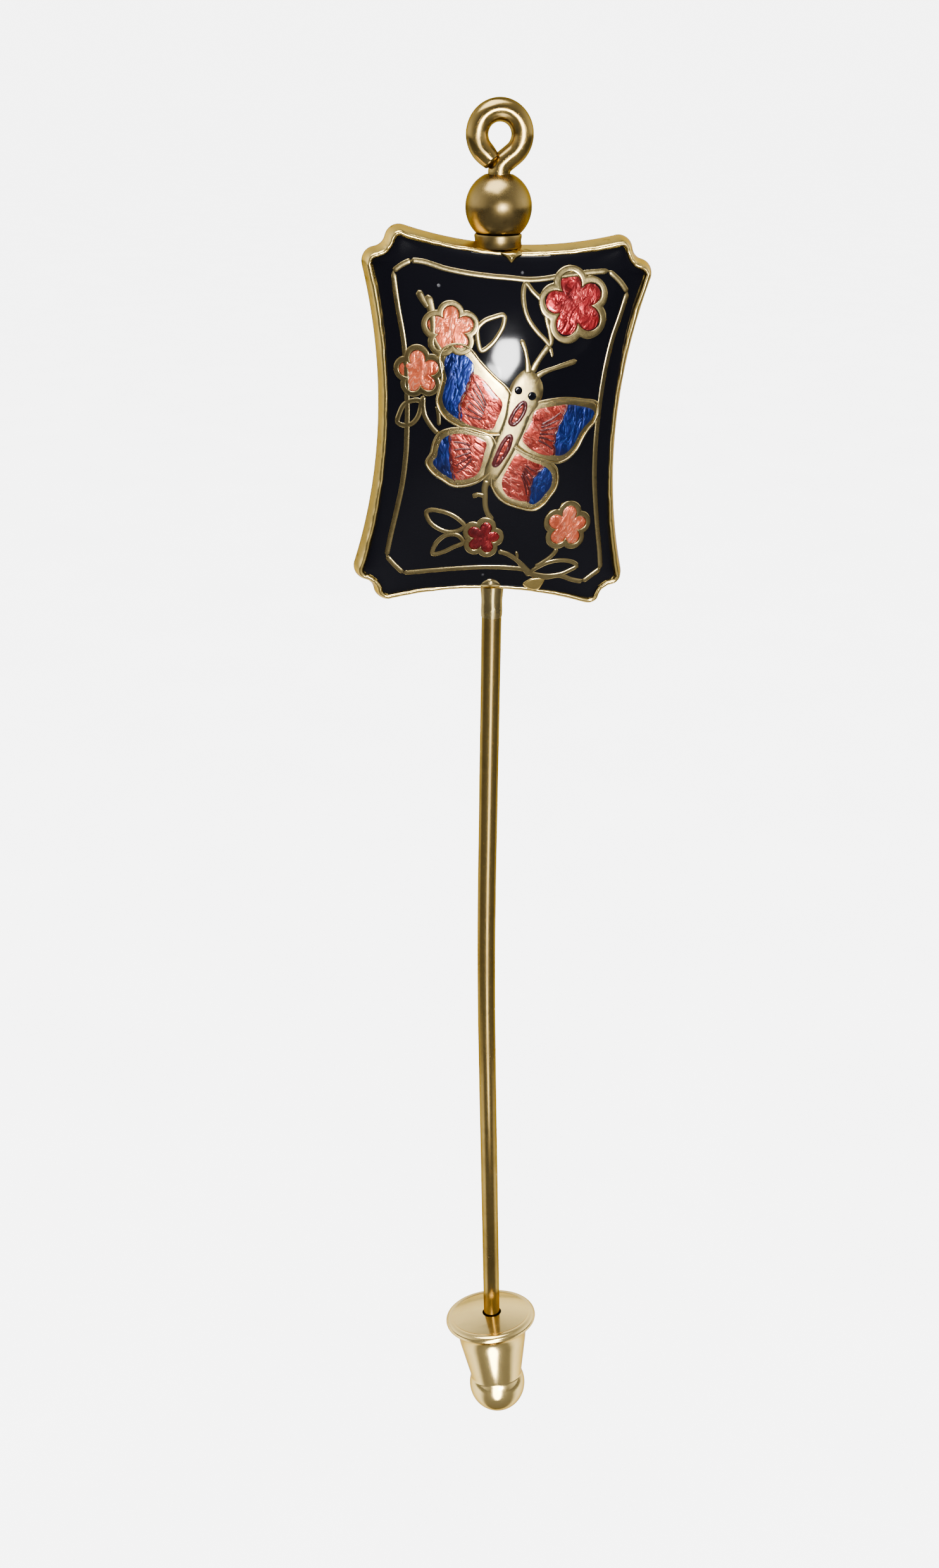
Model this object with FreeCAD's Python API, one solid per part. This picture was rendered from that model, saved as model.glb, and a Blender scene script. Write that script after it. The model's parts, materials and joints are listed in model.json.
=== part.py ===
import FreeCAD, Part
import math
import os

# An enamelled stick pin: a head wire with a bent eye and a stem with a point, soldered end to end, a ball bead,
# a hollow die-struck plaque bead with an enamelled butterfly on both faces, and a clutch that slides over the point.
# Millimetres. +Z runs up the wire to the eye and the front faces -Y. The origin lies on the wire's axis, at
# the lower end of the solder collar under the plaque.

Vector = FreeCAD.Vector
UP = Vector(0, 0, 1)
BACKWARDS = Vector(0, 1, 0)

# ---- driving dimensions -------------------------------------------------------------------------------------
# wire
wire_r = 0.50
straight_run = 14.60            # exposed wire below the solder collar, before the bend
bend_angle = 1.71               # degrees that the lower run leans towards +X
bend_length = 12.00             # of the gentle arc
lower_run = 20.70               # from the end of the bend to the plane of the clutch's rim
tip_back = 0.25                 # from the point to the centre of the clutch's bulb
taper_length = 2.60
tip_r = 0.06
# flattened ends of the two wires, which meet inside the solder
stop_width = 0.84
stop_thickness = 0.76
stop_foot = 0.05
stop_length = 1.15
# solder collar
solder_thickness = 0.09         # of the collar at its foot
collar_flare = 0.06             # how much its radius grows over each millimetre
# plaque bead
plaque_waist = 5.30             # half width of the enamelled face at the middle
plaque_side_sag = 0.95          # how far its corners stand out beyond the waist
plaque_corner_rise = 7.00
plaque_middle = 7.70            # half height of the enamelled face on the centre line
plaque_top_sag = 0.70
plaque_top_corner_width = 5.15
notch_r = 1.00
notch_drop = 0.05               # the notch's centre below the top corner
corner_round = 0.26
land = 0.15                     # flat edge of the rim, seen from the front
flare = 0.25                    # how much wider the bead is at its girdle than at its rim
rim_height = 0.90               # from the girdle to the rim
edge_height = 0.82              # from the girdle to the enamel at the rim
dome_rise = 1.30
dome_half_width = 5.60
dome_half_height = 8.30
floor_thickness = 0.35
enamel_depth = 0.25
collar_height = 1.52            # the plaque's lowest point on the wire's axis, above the origin
plaque_lean = 2.70              # degrees, top towards +X
plaque_shift = 0.14
plaque_hole_clearance = 0.06
# ball bead and its cup
ball_r = 1.50
ball_wall = 0.30
ball_gap = 0.08                 # between the ball and the plaque's top
running_clearance = 0.08
cup_r = 1.08
cup_clearance = 0.05
cup_skirt = 0.14
# wire eye
neck_inside = 0.10              # inside radius of the neck bend
eye_inside = 0.51               # inside radius of the eye
neck_start = 1.42               # above the ball's centre
eye_rise = 1.57                 # of the eye's centre above the start of the neck bend
eye_end = 48.0                  # degrees short of the bottom of the eye, where its straight tail starts
eye_tail = 0.42
# clutch
rim_overhang = 0.75             # of the rim beyond the body's top
roll_r = 0.30
shell_wall = 0.30
body_top_r = 2.10
body_top = 1.50                 # distances below the rim plane
throat_hollow = 0.10            # how far the curve under the rim bows inwards
neck_waist_r = 1.62
bulb_swell = 0.15               # of the bulb beyond the waist
bulb_centre = 4.65
disc_seat = 0.15
disc_rise = 0.50
disc_thickness = 0.25
disc_hole_clearance = 0.08
clutch_cant = 2.9               # degrees, foot towards +X
clutch_tilt = 14.0              # degrees, foot towards the front
cant_pivot = 1.00
grip_clearance = 0.03
grip_wall = 0.28
grip_top = 0.45
grip_foot = 2.70
grip_flange_thickness = 0.30
grip_flange_clearance = 0.17
grip_slot = 0.26

# ---- enamel picture, in the plaque's own x and z from its centre --------------------------------------------
line_width = 0.28               # of the struck lines
stem_width = 0.24
frame_side_inset = 0.90         # from the enamel's edge to the frame line's inner edge
frame_top_inset = 1.10
frame_side_sag = 0.75
frame_top_sag = 0.35
frame_side_cut = 0.70           # how much shorter the frame's sides are than the plaque's
frame_top_cut = 0.75
picture_half_width = 5.30       # the face that the picture below is drawn for
picture_half_height = 7.70
# centre x, centre z, petal circle distance, petal radius, turn in degrees
RED_FLOWERS = [(2.98, 5.83, 0.86, 0.50, 105), (-0.57, -5.15, 0.46, 0.30, 80)]
PEACH_FLOWERS = [(-2.62, 4.50, 0.66, 0.38, 92), (-3.98, 2.45, 0.60, 0.36, 98), (3.52, -4.52, 0.64, 0.37, 85)]
petal_rim = 0.30
PINK_CELLS = [
    [(-1.50, 2.60), (-1.00, 2.35), (-0.50, 1.82), (-0.15, 1.45), (-0.25, 0.70), (-0.45, 0.12), (-1.20, 0.20),
     (-1.85, 0.40), (-1.92, 1.15), (-1.62, 1.90)],
    [(1.45, 1.12), (2.80, 1.36), (2.62, 0.80), (2.38, 0.10), (2.34, -0.60), (2.38, -1.02), (1.70, -0.98),
     (1.15, -0.66), (0.88, -0.26), (1.28, 0.50)],
    [(-2.32, -0.20), (-1.40, -0.14), (-0.76, -0.42), (-0.95, -1.70), (-1.40, -2.22), (-2.10, -2.34), (-2.22, -1.40)],
    [(0.70, -0.95), (1.40, -1.26), (1.95, -1.52), (1.50, -1.90), (1.36, -2.50), (1.34, -3.22), (0.45, -3.06),
     (0.08, -2.40), (0.38, -1.62)],
]
BLUE_CELLS = [
    [(-2.84, 3.20), (-2.55, 3.52), (-2.10, 3.50), (-1.60, 3.14), (-1.66, 2.70), (-1.80, 1.95), (-2.10, 1.15),
     (-2.05, 0.50), (-2.55, 0.74), (-2.88, 1.30), (-2.72, 2.20)],
    [(3.00, 1.34), (4.20, 1.16), (4.30, 0.80), (3.70, 0.00), (3.45, -0.56), (3.00, -1.02), (2.55, -1.08),
     (2.52, -0.50), (2.56, 0.06), (2.80, 0.72)],
    [(-2.52, -0.26), (-2.92, -0.60), (-3.00, -1.28), (-3.18, -1.56), (-2.60, -2.10), (-2.30, -2.26), (-2.42, -1.40)],
    [(2.25, -1.64), (2.48, -1.96), (2.46, -2.44), (2.02, -3.08), (1.52, -3.36), (1.52, -2.60), (1.66, -2.00)],
]
WING_OUTLINES = [
    [(-3.12, 3.25), (-2.70, 3.80), (-2.00, 3.78), (-1.40, 3.36), (0.35, 1.60), (-0.20, -0.10), (-1.20, -0.02),
     (-2.10, 0.22), (-2.85, 0.62), (-3.14, 1.20), (-2.98, 2.20)],
    [(1.00, 1.40), (2.80, 1.62), (4.30, 1.44), (4.48, 0.66), (3.95, -0.14), (3.68, -0.72), (3.10, -1.28),
     (2.45, -1.34), (1.60, -1.16), (0.60, -0.60), (0.90, 0.40)],
    [(-2.40, 0.04), (-1.30, 0.06), (-0.40, -0.30), (-0.60, -1.90), (-1.25, -2.44), (-2.15, -2.60), (-2.75, -2.30),
     (-3.46, -1.62), (-3.24, -1.10), (-3.12, -0.50)],
    [(0.45, -0.80), (1.50, -1.06), (2.52, -1.52), (2.74, -1.96), (2.68, -2.56), (2.20, -3.20), (1.60, -3.62),
     (0.35, -3.34), (-0.25, -2.60), (0.00, -1.60)],
]
BODY_OUTLINE = [(0.50, 2.70), (1.15, 2.75), (1.62, 2.00), (1.30, 1.00), (0.70, -0.60), (-0.20, -2.20),
                (-0.62, -2.40), (-0.85, -1.60), (-0.40, -0.10), (0.00, 1.20), (0.20, 2.20)]
BODY_CELLS = [(0.58, 0.83, 0.17, 0.54, 30), (-0.02, -0.92, 0.15, 0.66, 26)]
EYES = [(0.55, 1.90, 0.12), (1.20, 1.67, 0.13)]
STEMS = [
    [(1.30, 2.60), (2.20, 2.95), (3.20, 3.35)],
    [(0.90, 2.60), (0.78, 3.30), (0.60, 4.20)],
    [(1.20, 2.60), (1.45, 3.30), (1.90, 3.98)],
    [(-0.50, -2.20), (-0.62, -3.20), (-0.40, -4.20)],
    [(0.10, -5.75), (0.90, -6.15), (1.70, -6.80)],
    [(2.30, -6.50), (2.90, -6.10), (3.15, -5.50)],
    [(-3.10, 3.60), (-3.40, 4.90), (-3.80, 5.85)],
    [(-3.74, 1.50), (-3.72, 0.60), (-3.10, -0.28)],
]
# centre x, centre z, half length, half width, turn of the long axis in degrees
LEAVES = [(1.22, 5.25, 1.42, 0.42, 118), (-0.86, 4.30, 0.86, 0.38, 52), (-4.38, 0.52, 0.58, 0.24, 60),
          (-2.45, -4.50, 0.98, 0.38, 170), (-2.28, -5.65, 0.86, 0.28, 24), (3.00, -6.84, 1.16, 0.30, 8)]

# ---- sizes worked out from the driving ones -----------------------------------------------------------------
plaque_corner_width = plaque_waist + plaque_side_sag
plaque_top_corner = plaque_middle + plaque_top_sag
notch_x = plaque_corner_width
notch_z = plaque_top_corner - notch_drop
frame_waist = plaque_waist - frame_side_inset
frame_middle = plaque_middle - frame_top_inset
frame_corner_width = frame_waist + frame_side_sag
frame_top_corner = frame_middle + frame_top_sag
frame_corner_rise = plaque_corner_rise - frame_side_cut
frame_top_corner_width = plaque_top_corner_width - frame_top_cut
scale_x = plaque_waist / picture_half_width
scale_z = plaque_middle / picture_half_height
plaque_centre = collar_height + plaque_middle + land + flare
plaque_top = plaque_centre + plaque_middle + land + flare
ball_centre = plaque_top + ball_gap + ball_r
neck_z = ball_centre + neck_start
neck_r = wire_r + neck_inside
eye_r = wire_r + eye_inside
rim_r = body_top_r + rim_overhang
bulb_r = neck_waist_r + bulb_swell
clutch_lean = math.acos(math.cos(math.radians(clutch_cant)) * math.cos(math.radians(clutch_tilt)))
disc_top = disc_rise + disc_thickness - disc_seat
disc_hole_r = wire_r + disc_hole_clearance + (cant_pivot + disc_top) * math.tan(clutch_lean)
stop_middle = stop_foot + stop_length / 2
tip_depth = bulb_centre - tip_back
grip_flange_r = body_top_r - shell_wall - grip_flange_clearance
outline_reach = 1.5             # how far the dome surface is carried past the outline before it is trimmed


# ---- small helpers ------------------------------------------------------------------------------------------
def at(x, z, y=0.0):
    return Vector(x, y, z)


def polar(centre_x, centre_z, r, degrees):
    turn = math.radians(degrees)
    return at(centre_x + r * math.cos(turn), centre_z + r * math.sin(turn))


def save(shape, name):
    shape.exportStep("parts/" + name + ".step")
    print(name, shape.ShapeType, len(shape.Solids), "valid", shape.isValid(), "volume %.3f" % shape.Volume)


def one_solid(shape):
    """The shape's only solid, with faces that lie on one surface joined."""
    merged = shape.removeSplitter()
    if len(merged.Solids) == 1:
        return merged.Solids[0]
    return merged


def fused(shapes):
    if len(shapes) == 1:
        return shapes[0]
    return shapes[0].fuse(shapes[1:])


def circle_pass(c1, r1, c2, r2, pick):
    """The point where two circles cross, chosen by the pick function."""
    dx = c2[0] - c1[0]
    dz = c2[1] - c1[1]
    span = math.hypot(dx, dz)
    along = (r1 * r1 - r2 * r2 + span * span) / (2 * span)
    off = math.sqrt(r1 * r1 - along * along)
    foot_x = c1[0] + along * dx / span
    foot_z = c1[1] + along * dz / span
    ends = [(foot_x + off * dz / span, foot_z - off * dx / span), (foot_x - off * dz / span, foot_z + off * dx / span)]
    return min(ends, key=pick)


def arc(start, middle, end):
    return Part.Arc(at(*start), at(*middle), at(*end)).toShape()


# ---- plaque outlines ----------------------------------------------------------------------------------------
def hollow_arc(near, far_along, far_off):
    """Centre distance and radius of an arc that bows inwards, through its middle and its two ends."""
    sag = far_off - near
    r = (sag * sag + far_along * far_along) / (2 * sag)
    return near + r, r


def sharp_outline(offset):
    """The notched outline before its corners are rounded, grown by an offset: twelve arcs."""
    side_centre, side_r = hollow_arc(plaque_waist, plaque_corner_rise, plaque_corner_width)
    top_centre, top_r = hollow_arc(plaque_middle, plaque_top_corner_width, plaque_top_corner)
    side_r -= offset
    top_r -= offset
    cut_r = notch_r - offset
    notch = (notch_x, notch_z)
    side_end = circle_pass((side_centre, 0), side_r, notch, cut_r, lambda p: p[1])
    top_end = circle_pass((0, top_centre), top_r, notch, cut_r, lambda p: p[0])
    first = math.atan2(side_end[1] - notch_z, side_end[0] - notch_x)
    last = math.atan2(top_end[1] - notch_z, top_end[0] - notch_x)
    if last > first:
        last -= 2 * math.pi
    half = (first + last) / 2
    notch_middle = (notch_x + cut_r * math.cos(half), notch_z + cut_r * math.sin(half))
    edges = []
    for sign_x, sign_z in ((1, 1), (-1, 1), (-1, -1), (1, -1)):
        ends = [(sign_x * p[0], sign_z * p[1]) for p in (side_end, notch_middle, top_end)]
        edges.append(arc(*ends))
    side_x = side_centre - side_r
    top_z = top_centre - top_r
    for sign in (1, -1):
        edges.append(arc((sign * side_end[0], -side_end[1]), (sign * side_x, 0), (sign * side_end[0], side_end[1])))
        edges.append(arc((-top_end[0], sign * top_end[1]), (0, sign * top_z), (top_end[0], sign * top_end[1])))
    return Part.Wire(Part.__sortEdges__(edges))


def rounded_outline(grown):
    """The enamel's outline grown by so much, with rounded corners."""
    return sharp_outline(-corner_round).makeOffset2D(corner_round + grown, 0, False, False, True)


def frame_outline():
    """Inner edge of the frame line: hollow sides and corners cut straight."""
    side_centre, side_r = hollow_arc(frame_waist, frame_corner_rise, frame_corner_width)
    top_centre, top_r = hollow_arc(frame_middle, frame_top_corner_width, frame_top_corner)
    edges = []
    for sign in (1, -1):
        edges.append(arc((sign * frame_corner_width, -frame_corner_rise), (sign * (side_centre - side_r), 0),
                         (sign * frame_corner_width, frame_corner_rise)))
        edges.append(arc((-frame_top_corner_width, sign * frame_top_corner), (0, sign * (top_centre - top_r)),
                         (frame_top_corner_width, sign * frame_top_corner)))
        for side in (1, -1):
            edges.append(Part.makeLine(at(side * frame_corner_width, sign * frame_corner_rise),
                                       at(side * frame_top_corner_width, sign * frame_top_corner)))
    return Part.Wire(Part.__sortEdges__(edges))


# ---- flat shapes of the picture -----------------------------------------------------------------------------
def on_face(x, z):
    """A point of the picture, fitted to the plaque's own width and height."""
    return x * scale_x, z * scale_z


def polygon_face(points):
    corners = [at(*on_face(x, z)) for x, z in points]
    return Part.Face(Part.makePolygon(corners + corners[:1]))


def disc_face(x, z, r):
    return Part.Face(Part.Wire(Part.makeCircle(r * min(scale_x, scale_z), at(*on_face(x, z)), BACKWARDS)))


def oval_face(x, z, half_width, half_length, turn):
    """A pointed oval: two arcs that meet at the ends of its long axis."""
    lean = math.radians(turn)
    long_way = (-math.sin(lean), math.cos(lean))
    wide_way = (math.cos(lean), math.sin(lean))
    top = (x + half_length * long_way[0], z + half_length * long_way[1])
    foot = (x - half_length * long_way[0], z - half_length * long_way[1])
    right = (x + half_width * wide_way[0], z + half_width * wide_way[1])
    left = (x - half_width * wide_way[0], z - half_width * wide_way[1])
    corners = [on_face(*corner) for corner in (top, right, foot, left)]
    return Part.Face(Part.Wire([arc(*corners[:3]), arc(corners[2], corners[3], corners[0])]))


def flower_face(x, z, petal_distance, petal_r, turn, rim):
    petals = []
    for petal in range(5):
        centre = polar(x, z, petal_distance, turn + 72 * petal)
        petals.append(disc_face(centre.x, centre.z, petal_r + rim))
    petals.append(disc_face(x, z, petal_distance * 0.92 + rim))
    return fused(petals).removeSplitter()


def stem_faces(points):
    """A stem of even width: a bar for each run and a disc at each joint."""
    faces = []
    half = stem_width / 2
    for (x1, z1), (x2, z2) in zip(points[:-1], points[1:]):
        length = math.hypot(x2 - x1, z2 - z1)
        side_x = -(z2 - z1) / length * half
        side_z = (x2 - x1) / length * half
        faces.append(polygon_face([(x1 + side_x, z1 + side_z), (x2 + side_x, z2 + side_z),
                                   (x2 - side_x, z2 - side_z), (x1 - side_x, z1 - side_z)]))
        faces.append(disc_face(x2, z2, half))
    return faces


def metal_picture():
    """Every flat shape that stays bare metal or holds a coloured cell inside the black."""
    shapes = [flower_face(*flower, petal_rim) for flower in RED_FLOWERS + PEACH_FLOWERS]
    shapes += [polygon_face(points) for points in WING_OUTLINES + [BODY_OUTLINE]]
    for points in STEMS:
        shapes += stem_faces(points)
    for x, z, half_length, half_width, turn in LEAVES:
        outer = oval_face(x, z, half_width, half_length, turn - 90)
        inner = oval_face(x, z, half_width - stem_width * 0.7, half_length - stem_width * 1.6, turn - 90)
        shapes.append(outer.cut(inner))
    return shapes


def enamel_regions():
    """The flat region of each enamel, by name."""
    whole = Part.Face(rounded_outline(0.0))
    frame_inner = Part.Face(frame_outline())
    frame_outer = Part.Face(frame_outline().makeOffset2D(line_width, 2, False, False, True))
    metal = metal_picture()
    red = [flower_face(*flower, 0.0) for flower in RED_FLOWERS]
    red += [oval_face(*cell) for cell in BODY_CELLS]
    return {
        "border_enamel": whole.cut([frame_outer] + metal),
        "field_enamel": frame_inner.cut(metal),
        "pink_enamel": Part.makeCompound([polygon_face(points) for points in PINK_CELLS]),
        "blue_enamel": Part.makeCompound([polygon_face(points) for points in BLUE_CELLS]),
        "red_enamel": Part.makeCompound(red),
        "peach_enamel": Part.makeCompound([flower_face(*flower, 0.0) for flower in PEACH_FLOWERS]),
        "eye_enamel": Part.makeCompound([disc_face(*eye) for eye in EYES]),
    }


# ---- plaque bead --------------------------------------------------------------------------------------------
def dome_slab(lift, thickness):
    """A sheet that follows the domed face: rise times (1 - (x/half width) squared)(1 - (z/half height) squared)."""
    reach_x = plaque_corner_width + outline_reach
    reach_z = plaque_top_corner + outline_reach

    def poles(reach, half):
        end = 1 - (reach / half) ** 2
        return [end, 1 + (reach / half) ** 2, end]

    across = poles(reach_x, dome_half_width)
    upward = poles(reach_z, dome_half_height)
    grid = []
    for i, x in enumerate((-reach_x, 0, reach_x)):
        row = []
        for j, z in enumerate((-reach_z, 0, reach_z)):
            row.append(at(x, z, -(edge_height + lift + dome_rise * across[i] * upward[j])))
        grid.append(row)
    surface = Part.BSplineSurface()
    surface.buildFromPolesMultsKnots(grid, [3, 3], [3, 3], [0, 1], [0, 1], False, False, 2, 2)
    return surface.toShape().extrude(Vector(0, thickness, 0))


def through_plaque(face):
    """The flat face carried through the whole depth of one half of the bead."""
    start = face.copy()
    start.translate(Vector(0, -(edge_height + 2 * dome_rise), 0))
    return start.extrude(Vector(0, edge_height + 2 * dome_rise, 0))


def bead_half():
    """One half of the bead as a solid block, from the girdle to the rim."""
    girdle = rounded_outline(land + flare)
    rim = rounded_outline(land)
    rim.translate(Vector(0, -rim_height, 0))
    return Part.makeLoft([girdle, rim], True, True)


def cells_of(region, layer):
    pieces = [through_plaque(face).common(layer) for face in region.Faces]
    solids = [solid for piece in pieces for solid in piece.Solids]
    return solids


def front_half():
    """The struck shell and the enamels of the front half, in the plaque's own frame."""
    layer = dome_slab(0, enamel_depth)
    regions = enamel_regions()
    whole = Part.Face(rounded_outline(0.0))
    wall = bead_half().cut(through_plaque(whole))
    plate = through_plaque(whole).common(dome_slab(0, enamel_depth + floor_thickness))
    shell = wall.fuse(plate)
    opened = dome_slab(dome_rise / 2, dome_rise / 2 + enamel_depth)
    enamels = {}
    for name, region in regions.items():
        enamels[name] = Part.makeCompound(cells_of(region, layer))
        shell = shell.cut(Part.makeCompound(cells_of(region, opened)))
    return one_solid(shell), enamels


def turned_to_back(shape):
    back = shape.copy()
    back.rotate(Vector(0, 0, 0), UP, 180)
    return back


def placed_on_wire(shape):
    placed = shape.copy()
    placed.rotate(Vector(0, 0, 0), BACKWARDS, plaque_lean)
    placed.translate(Vector(plaque_shift, 0, plaque_centre))
    return placed


def wire_hole():
    r = wire_r + plaque_hole_clearance
    return Part.makeCylinder(r, plaque_top + 2, Vector(0, 0, -1), UP)


# ---- wire ---------------------------------------------------------------------------------------------------
def run(start, end, r=wire_r):
    direction = end - start
    return Part.makeCylinder(r, direction.Length, start, direction)


def bend(start, direction, centre, degrees):
    """A round bar bent about a line along Y through the centre."""
    section = Part.Face(Part.Wire(Part.makeCircle(wire_r, start, direction)))
    return section.revolve(centre, BACKWARDS, degrees)


def lower_direction():
    turn = math.radians(bend_angle)
    return Vector(math.sin(turn), 0, -math.cos(turn))


def bend_end():
    """Where the gentle arc ends and the lower run starts."""
    r = bend_length / math.radians(bend_angle)
    turn = math.radians(bend_angle)
    return Vector(r * (1 - math.cos(turn)), 0, -straight_run - r * math.sin(turn))


def clutch_point():
    """The centre of the clutch's rim plane, on the lower run."""
    return bend_end() + lower_direction() * lower_run


def stop_half(foot, head):
    """The flattened end of one wire, between two heights."""
    corner = Vector(-stop_width / 2, -stop_thickness / 2, foot)
    return Part.makeBox(stop_width, stop_thickness, head - foot, corner)


def pin_stem():
    """The straight run, the gentle arc, the lower run and the point."""
    r = bend_length / math.radians(bend_angle)
    top = Vector(0, 0, stop_foot)
    knee = Vector(0, 0, -straight_run)
    taper = clutch_point() + lower_direction() * (tip_depth - taper_length)
    pieces = [stop_half(stop_foot, stop_middle), run(top, knee)]
    pieces.append(bend(knee, Vector(0, 0, -1), Vector(r, 0, -straight_run), -bend_angle))
    pieces.append(run(bend_end(), taper))
    pieces.append(Part.makeCone(wire_r, tip_r, taper_length, taper, lower_direction()))
    return one_solid(fused(pieces))


def eye_wire():
    """The run through the beads, the neck bend, a short run, the eye and its straight tail."""
    neck_foot = Vector(0, 0, neck_z)
    neck_centre = Vector(neck_r, 0, neck_z)
    eye_centre = Vector(0, 0, neck_z + eye_rise)
    span = (eye_centre - neck_centre).Length
    slope = math.atan2(-neck_r, eye_rise) + math.asin((neck_r + eye_r) / span)
    slide = math.sqrt(span * span - (neck_r + eye_r) ** 2)
    way = Vector(math.sin(slope), 0, math.cos(slope))
    leave = neck_centre + Vector(-math.cos(slope), 0, math.sin(slope)) * neck_r
    meet = leave + way * slide
    sweep = 270 + math.degrees(slope) - eye_end
    pieces = [stop_half(stop_middle, stop_foot + stop_length)]
    pieces.append(run(Vector(0, 0, stop_foot + stop_length), neck_foot))
    pieces.append(bend(neck_foot, UP, neck_centre, math.degrees(slope)))
    pieces.append(run(leave, meet))
    pieces.append(bend(meet, way, eye_centre, -sweep))
    end = math.radians(eye_end)
    eye_foot = eye_centre - Vector(math.sin(end), 0, math.cos(end)) * eye_r
    pieces.append(run(eye_foot, eye_foot + Vector(math.cos(end), 0, -math.sin(end)) * eye_tail))
    return one_solid(fused(pieces))


# ---- ball, cup and solder -----------------------------------------------------------------------------------
def ball_bead():
    centre = Vector(0, 0, ball_centre)
    ball = Part.makeSphere(ball_r, centre).cut(Part.makeSphere(ball_r - ball_wall, centre))
    bore = Part.makeCylinder(wire_r + running_clearance, 4 * ball_r, centre - UP * (2 * ball_r), UP)
    return one_solid(ball.cut(bore))


def seat_cup(bead):
    """The cup that the ball stands in, soldered to the wire and seated on the plaque's top edge."""
    reach = ball_r + cup_clearance
    height = ball_centre - math.sqrt(reach * reach - cup_r * cup_r) - (plaque_top - cup_skirt)
    cup = Part.makeCylinder(cup_r, height, Vector(0, 0, plaque_top - cup_skirt), UP)
    cup = cup.cut(Part.makeSphere(reach, Vector(0, 0, ball_centre)))
    cup = cup.cut([bead, Part.makeCylinder(wire_r, 4 * ball_r, Vector(0, 0, plaque_top - ball_r), UP)])
    return one_solid(cup)


def solder_collar(bead, wires):
    height = collar_height + land
    foot_r = wire_r + solder_thickness
    collar = Part.makeCone(foot_r, foot_r + collar_flare * height, height)
    return one_solid(collar.cut([bead] + wires))


# ---- clutch, along its own axis: rim plane at z = 0, foot downwards -----------------------------------------
def turned(points_and_arcs):
    """A solid turned about Z from a closed profile of lines and arcs in the XZ plane."""
    edges = []
    for piece in points_and_arcs:
        if len(piece) == 2:
            edges.append(Part.makeLine(at(*piece[0]), at(*piece[1])))
        else:
            edges.append(arc(*piece))
    profile = Part.Face(Part.Wire(Part.__sortEdges__(edges)))
    return profile.revolve(Vector(0, 0, 0), UP, 360)


def body_slope():
    return (body_top_r - neck_waist_r) / (waist_depth() - body_top)


def waist_depth():
    """Where the body meets the bulb."""
    return bulb_centre - math.sqrt(bulb_r * bulb_r - neck_waist_r * neck_waist_r)


def bulb_point(r):
    """A point of the bulb's profile, part of the way up its side."""
    side = math.radians(40)
    return r * math.sin(side), -bulb_centre - r * math.cos(side)


def clutch_shell():
    ledge_r = body_top_r + body_slope() * (body_top - disc_seat) - shell_wall
    inner_bulb = bulb_r - shell_wall
    inner_waist_r = neck_waist_r - shell_wall
    inner_waist = bulb_centre - math.sqrt(inner_bulb * inner_bulb - inner_waist_r * inner_waist_r)
    roll_x = rim_r - roll_r
    seat_r = roll_x - roll_r
    throat = (body_top_r, -body_top)
    under = (roll_x, -roll_r)
    throat_middle = ((body_top_r + roll_x) / 2 - throat_hollow, -(body_top + roll_r) / 2)
    profile = [
        ((0, -bulb_centre - bulb_r), bulb_point(bulb_r), (neck_waist_r, -waist_depth())),
        ((neck_waist_r, -waist_depth()), throat),
        (throat, throat_middle, under),
        (under, (rim_r, 0), (roll_x, roll_r)),
        ((roll_x, roll_r), (seat_r, roll_r / 2)),
        ((seat_r, roll_r / 2), (seat_r, -disc_seat)),
        ((seat_r, -disc_seat), (ledge_r, -disc_seat)),
        ((ledge_r, -disc_seat), (inner_waist_r, -inner_waist)),
        ((inner_waist_r, -inner_waist), bulb_point(inner_bulb), (0, -bulb_centre - inner_bulb)),
        ((0, -bulb_centre - inner_bulb), (0, -bulb_centre - bulb_r)),
    ]
    return turned(profile)


def clutch_disc():
    """A domed washer that lies on the shell's ledge."""
    seat_r = rim_r - 2 * roll_r
    dome_r = (seat_r * seat_r + disc_rise * disc_rise) / (2 * disc_rise)

    def height(x):
        return -disc_seat + disc_rise - dome_r + math.sqrt(dome_r * dome_r - x * x)

    middle = (seat_r + disc_hole_r) / 2
    profile = [
        ((disc_hole_r, height(disc_hole_r)), (middle, height(middle)), (seat_r, -disc_seat)),
        ((seat_r, -disc_seat), (seat_r, -disc_seat + disc_thickness)),
        ((seat_r, -disc_seat + disc_thickness), (middle, height(middle) + disc_thickness),
         (disc_hole_r, height(disc_hole_r) + disc_thickness)),
        ((disc_hole_r, height(disc_hole_r) + disc_thickness), (disc_hole_r, height(disc_hole_r))),
    ]
    return turned(profile)


def grip_sleeve():
    """A slit spring sleeve on the pin, with a flange that centres it in the shell."""
    bore_r = wire_r + grip_clearance
    outer_r = bore_r + grip_wall
    flange_r = grip_flange_r - body_slope() * (cant_pivot - body_top)
    tube = Part.makeCylinder(outer_r, grip_foot - grip_top, Vector(0, 0, -grip_foot))
    flange_foot = Vector(0, 0, -cant_pivot - grip_flange_thickness / 2)
    sleeve = tube.fuse(Part.makeCylinder(flange_r, grip_flange_thickness, flange_foot))
    sleeve = sleeve.cut(Part.makeCylinder(bore_r, grip_foot + grip_top, Vector(0, 0, -grip_foot - grip_top / 2)))
    slit = Part.makeBox(2 * rim_r, grip_slot, grip_foot, Vector(0, -grip_slot / 2, -grip_foot - grip_top / 2))
    return one_solid(sleeve.cut(slit))


def canted(shape):
    """The shell or its disc, leaning on the sleeve's flange."""
    leaning = shape.copy()
    pivot = Vector(0, 0, -cant_pivot)
    leaning.rotate(pivot, Vector(1, 0, 0), -clutch_tilt)
    leaning.rotate(pivot, BACKWARDS, -clutch_cant)
    return leaning


def on_lower_run(shape):
    placed = shape.copy()
    placed.rotate(Vector(0, 0, 0), BACKWARDS, -bend_angle)
    placed.translate(clutch_point())
    return placed


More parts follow.
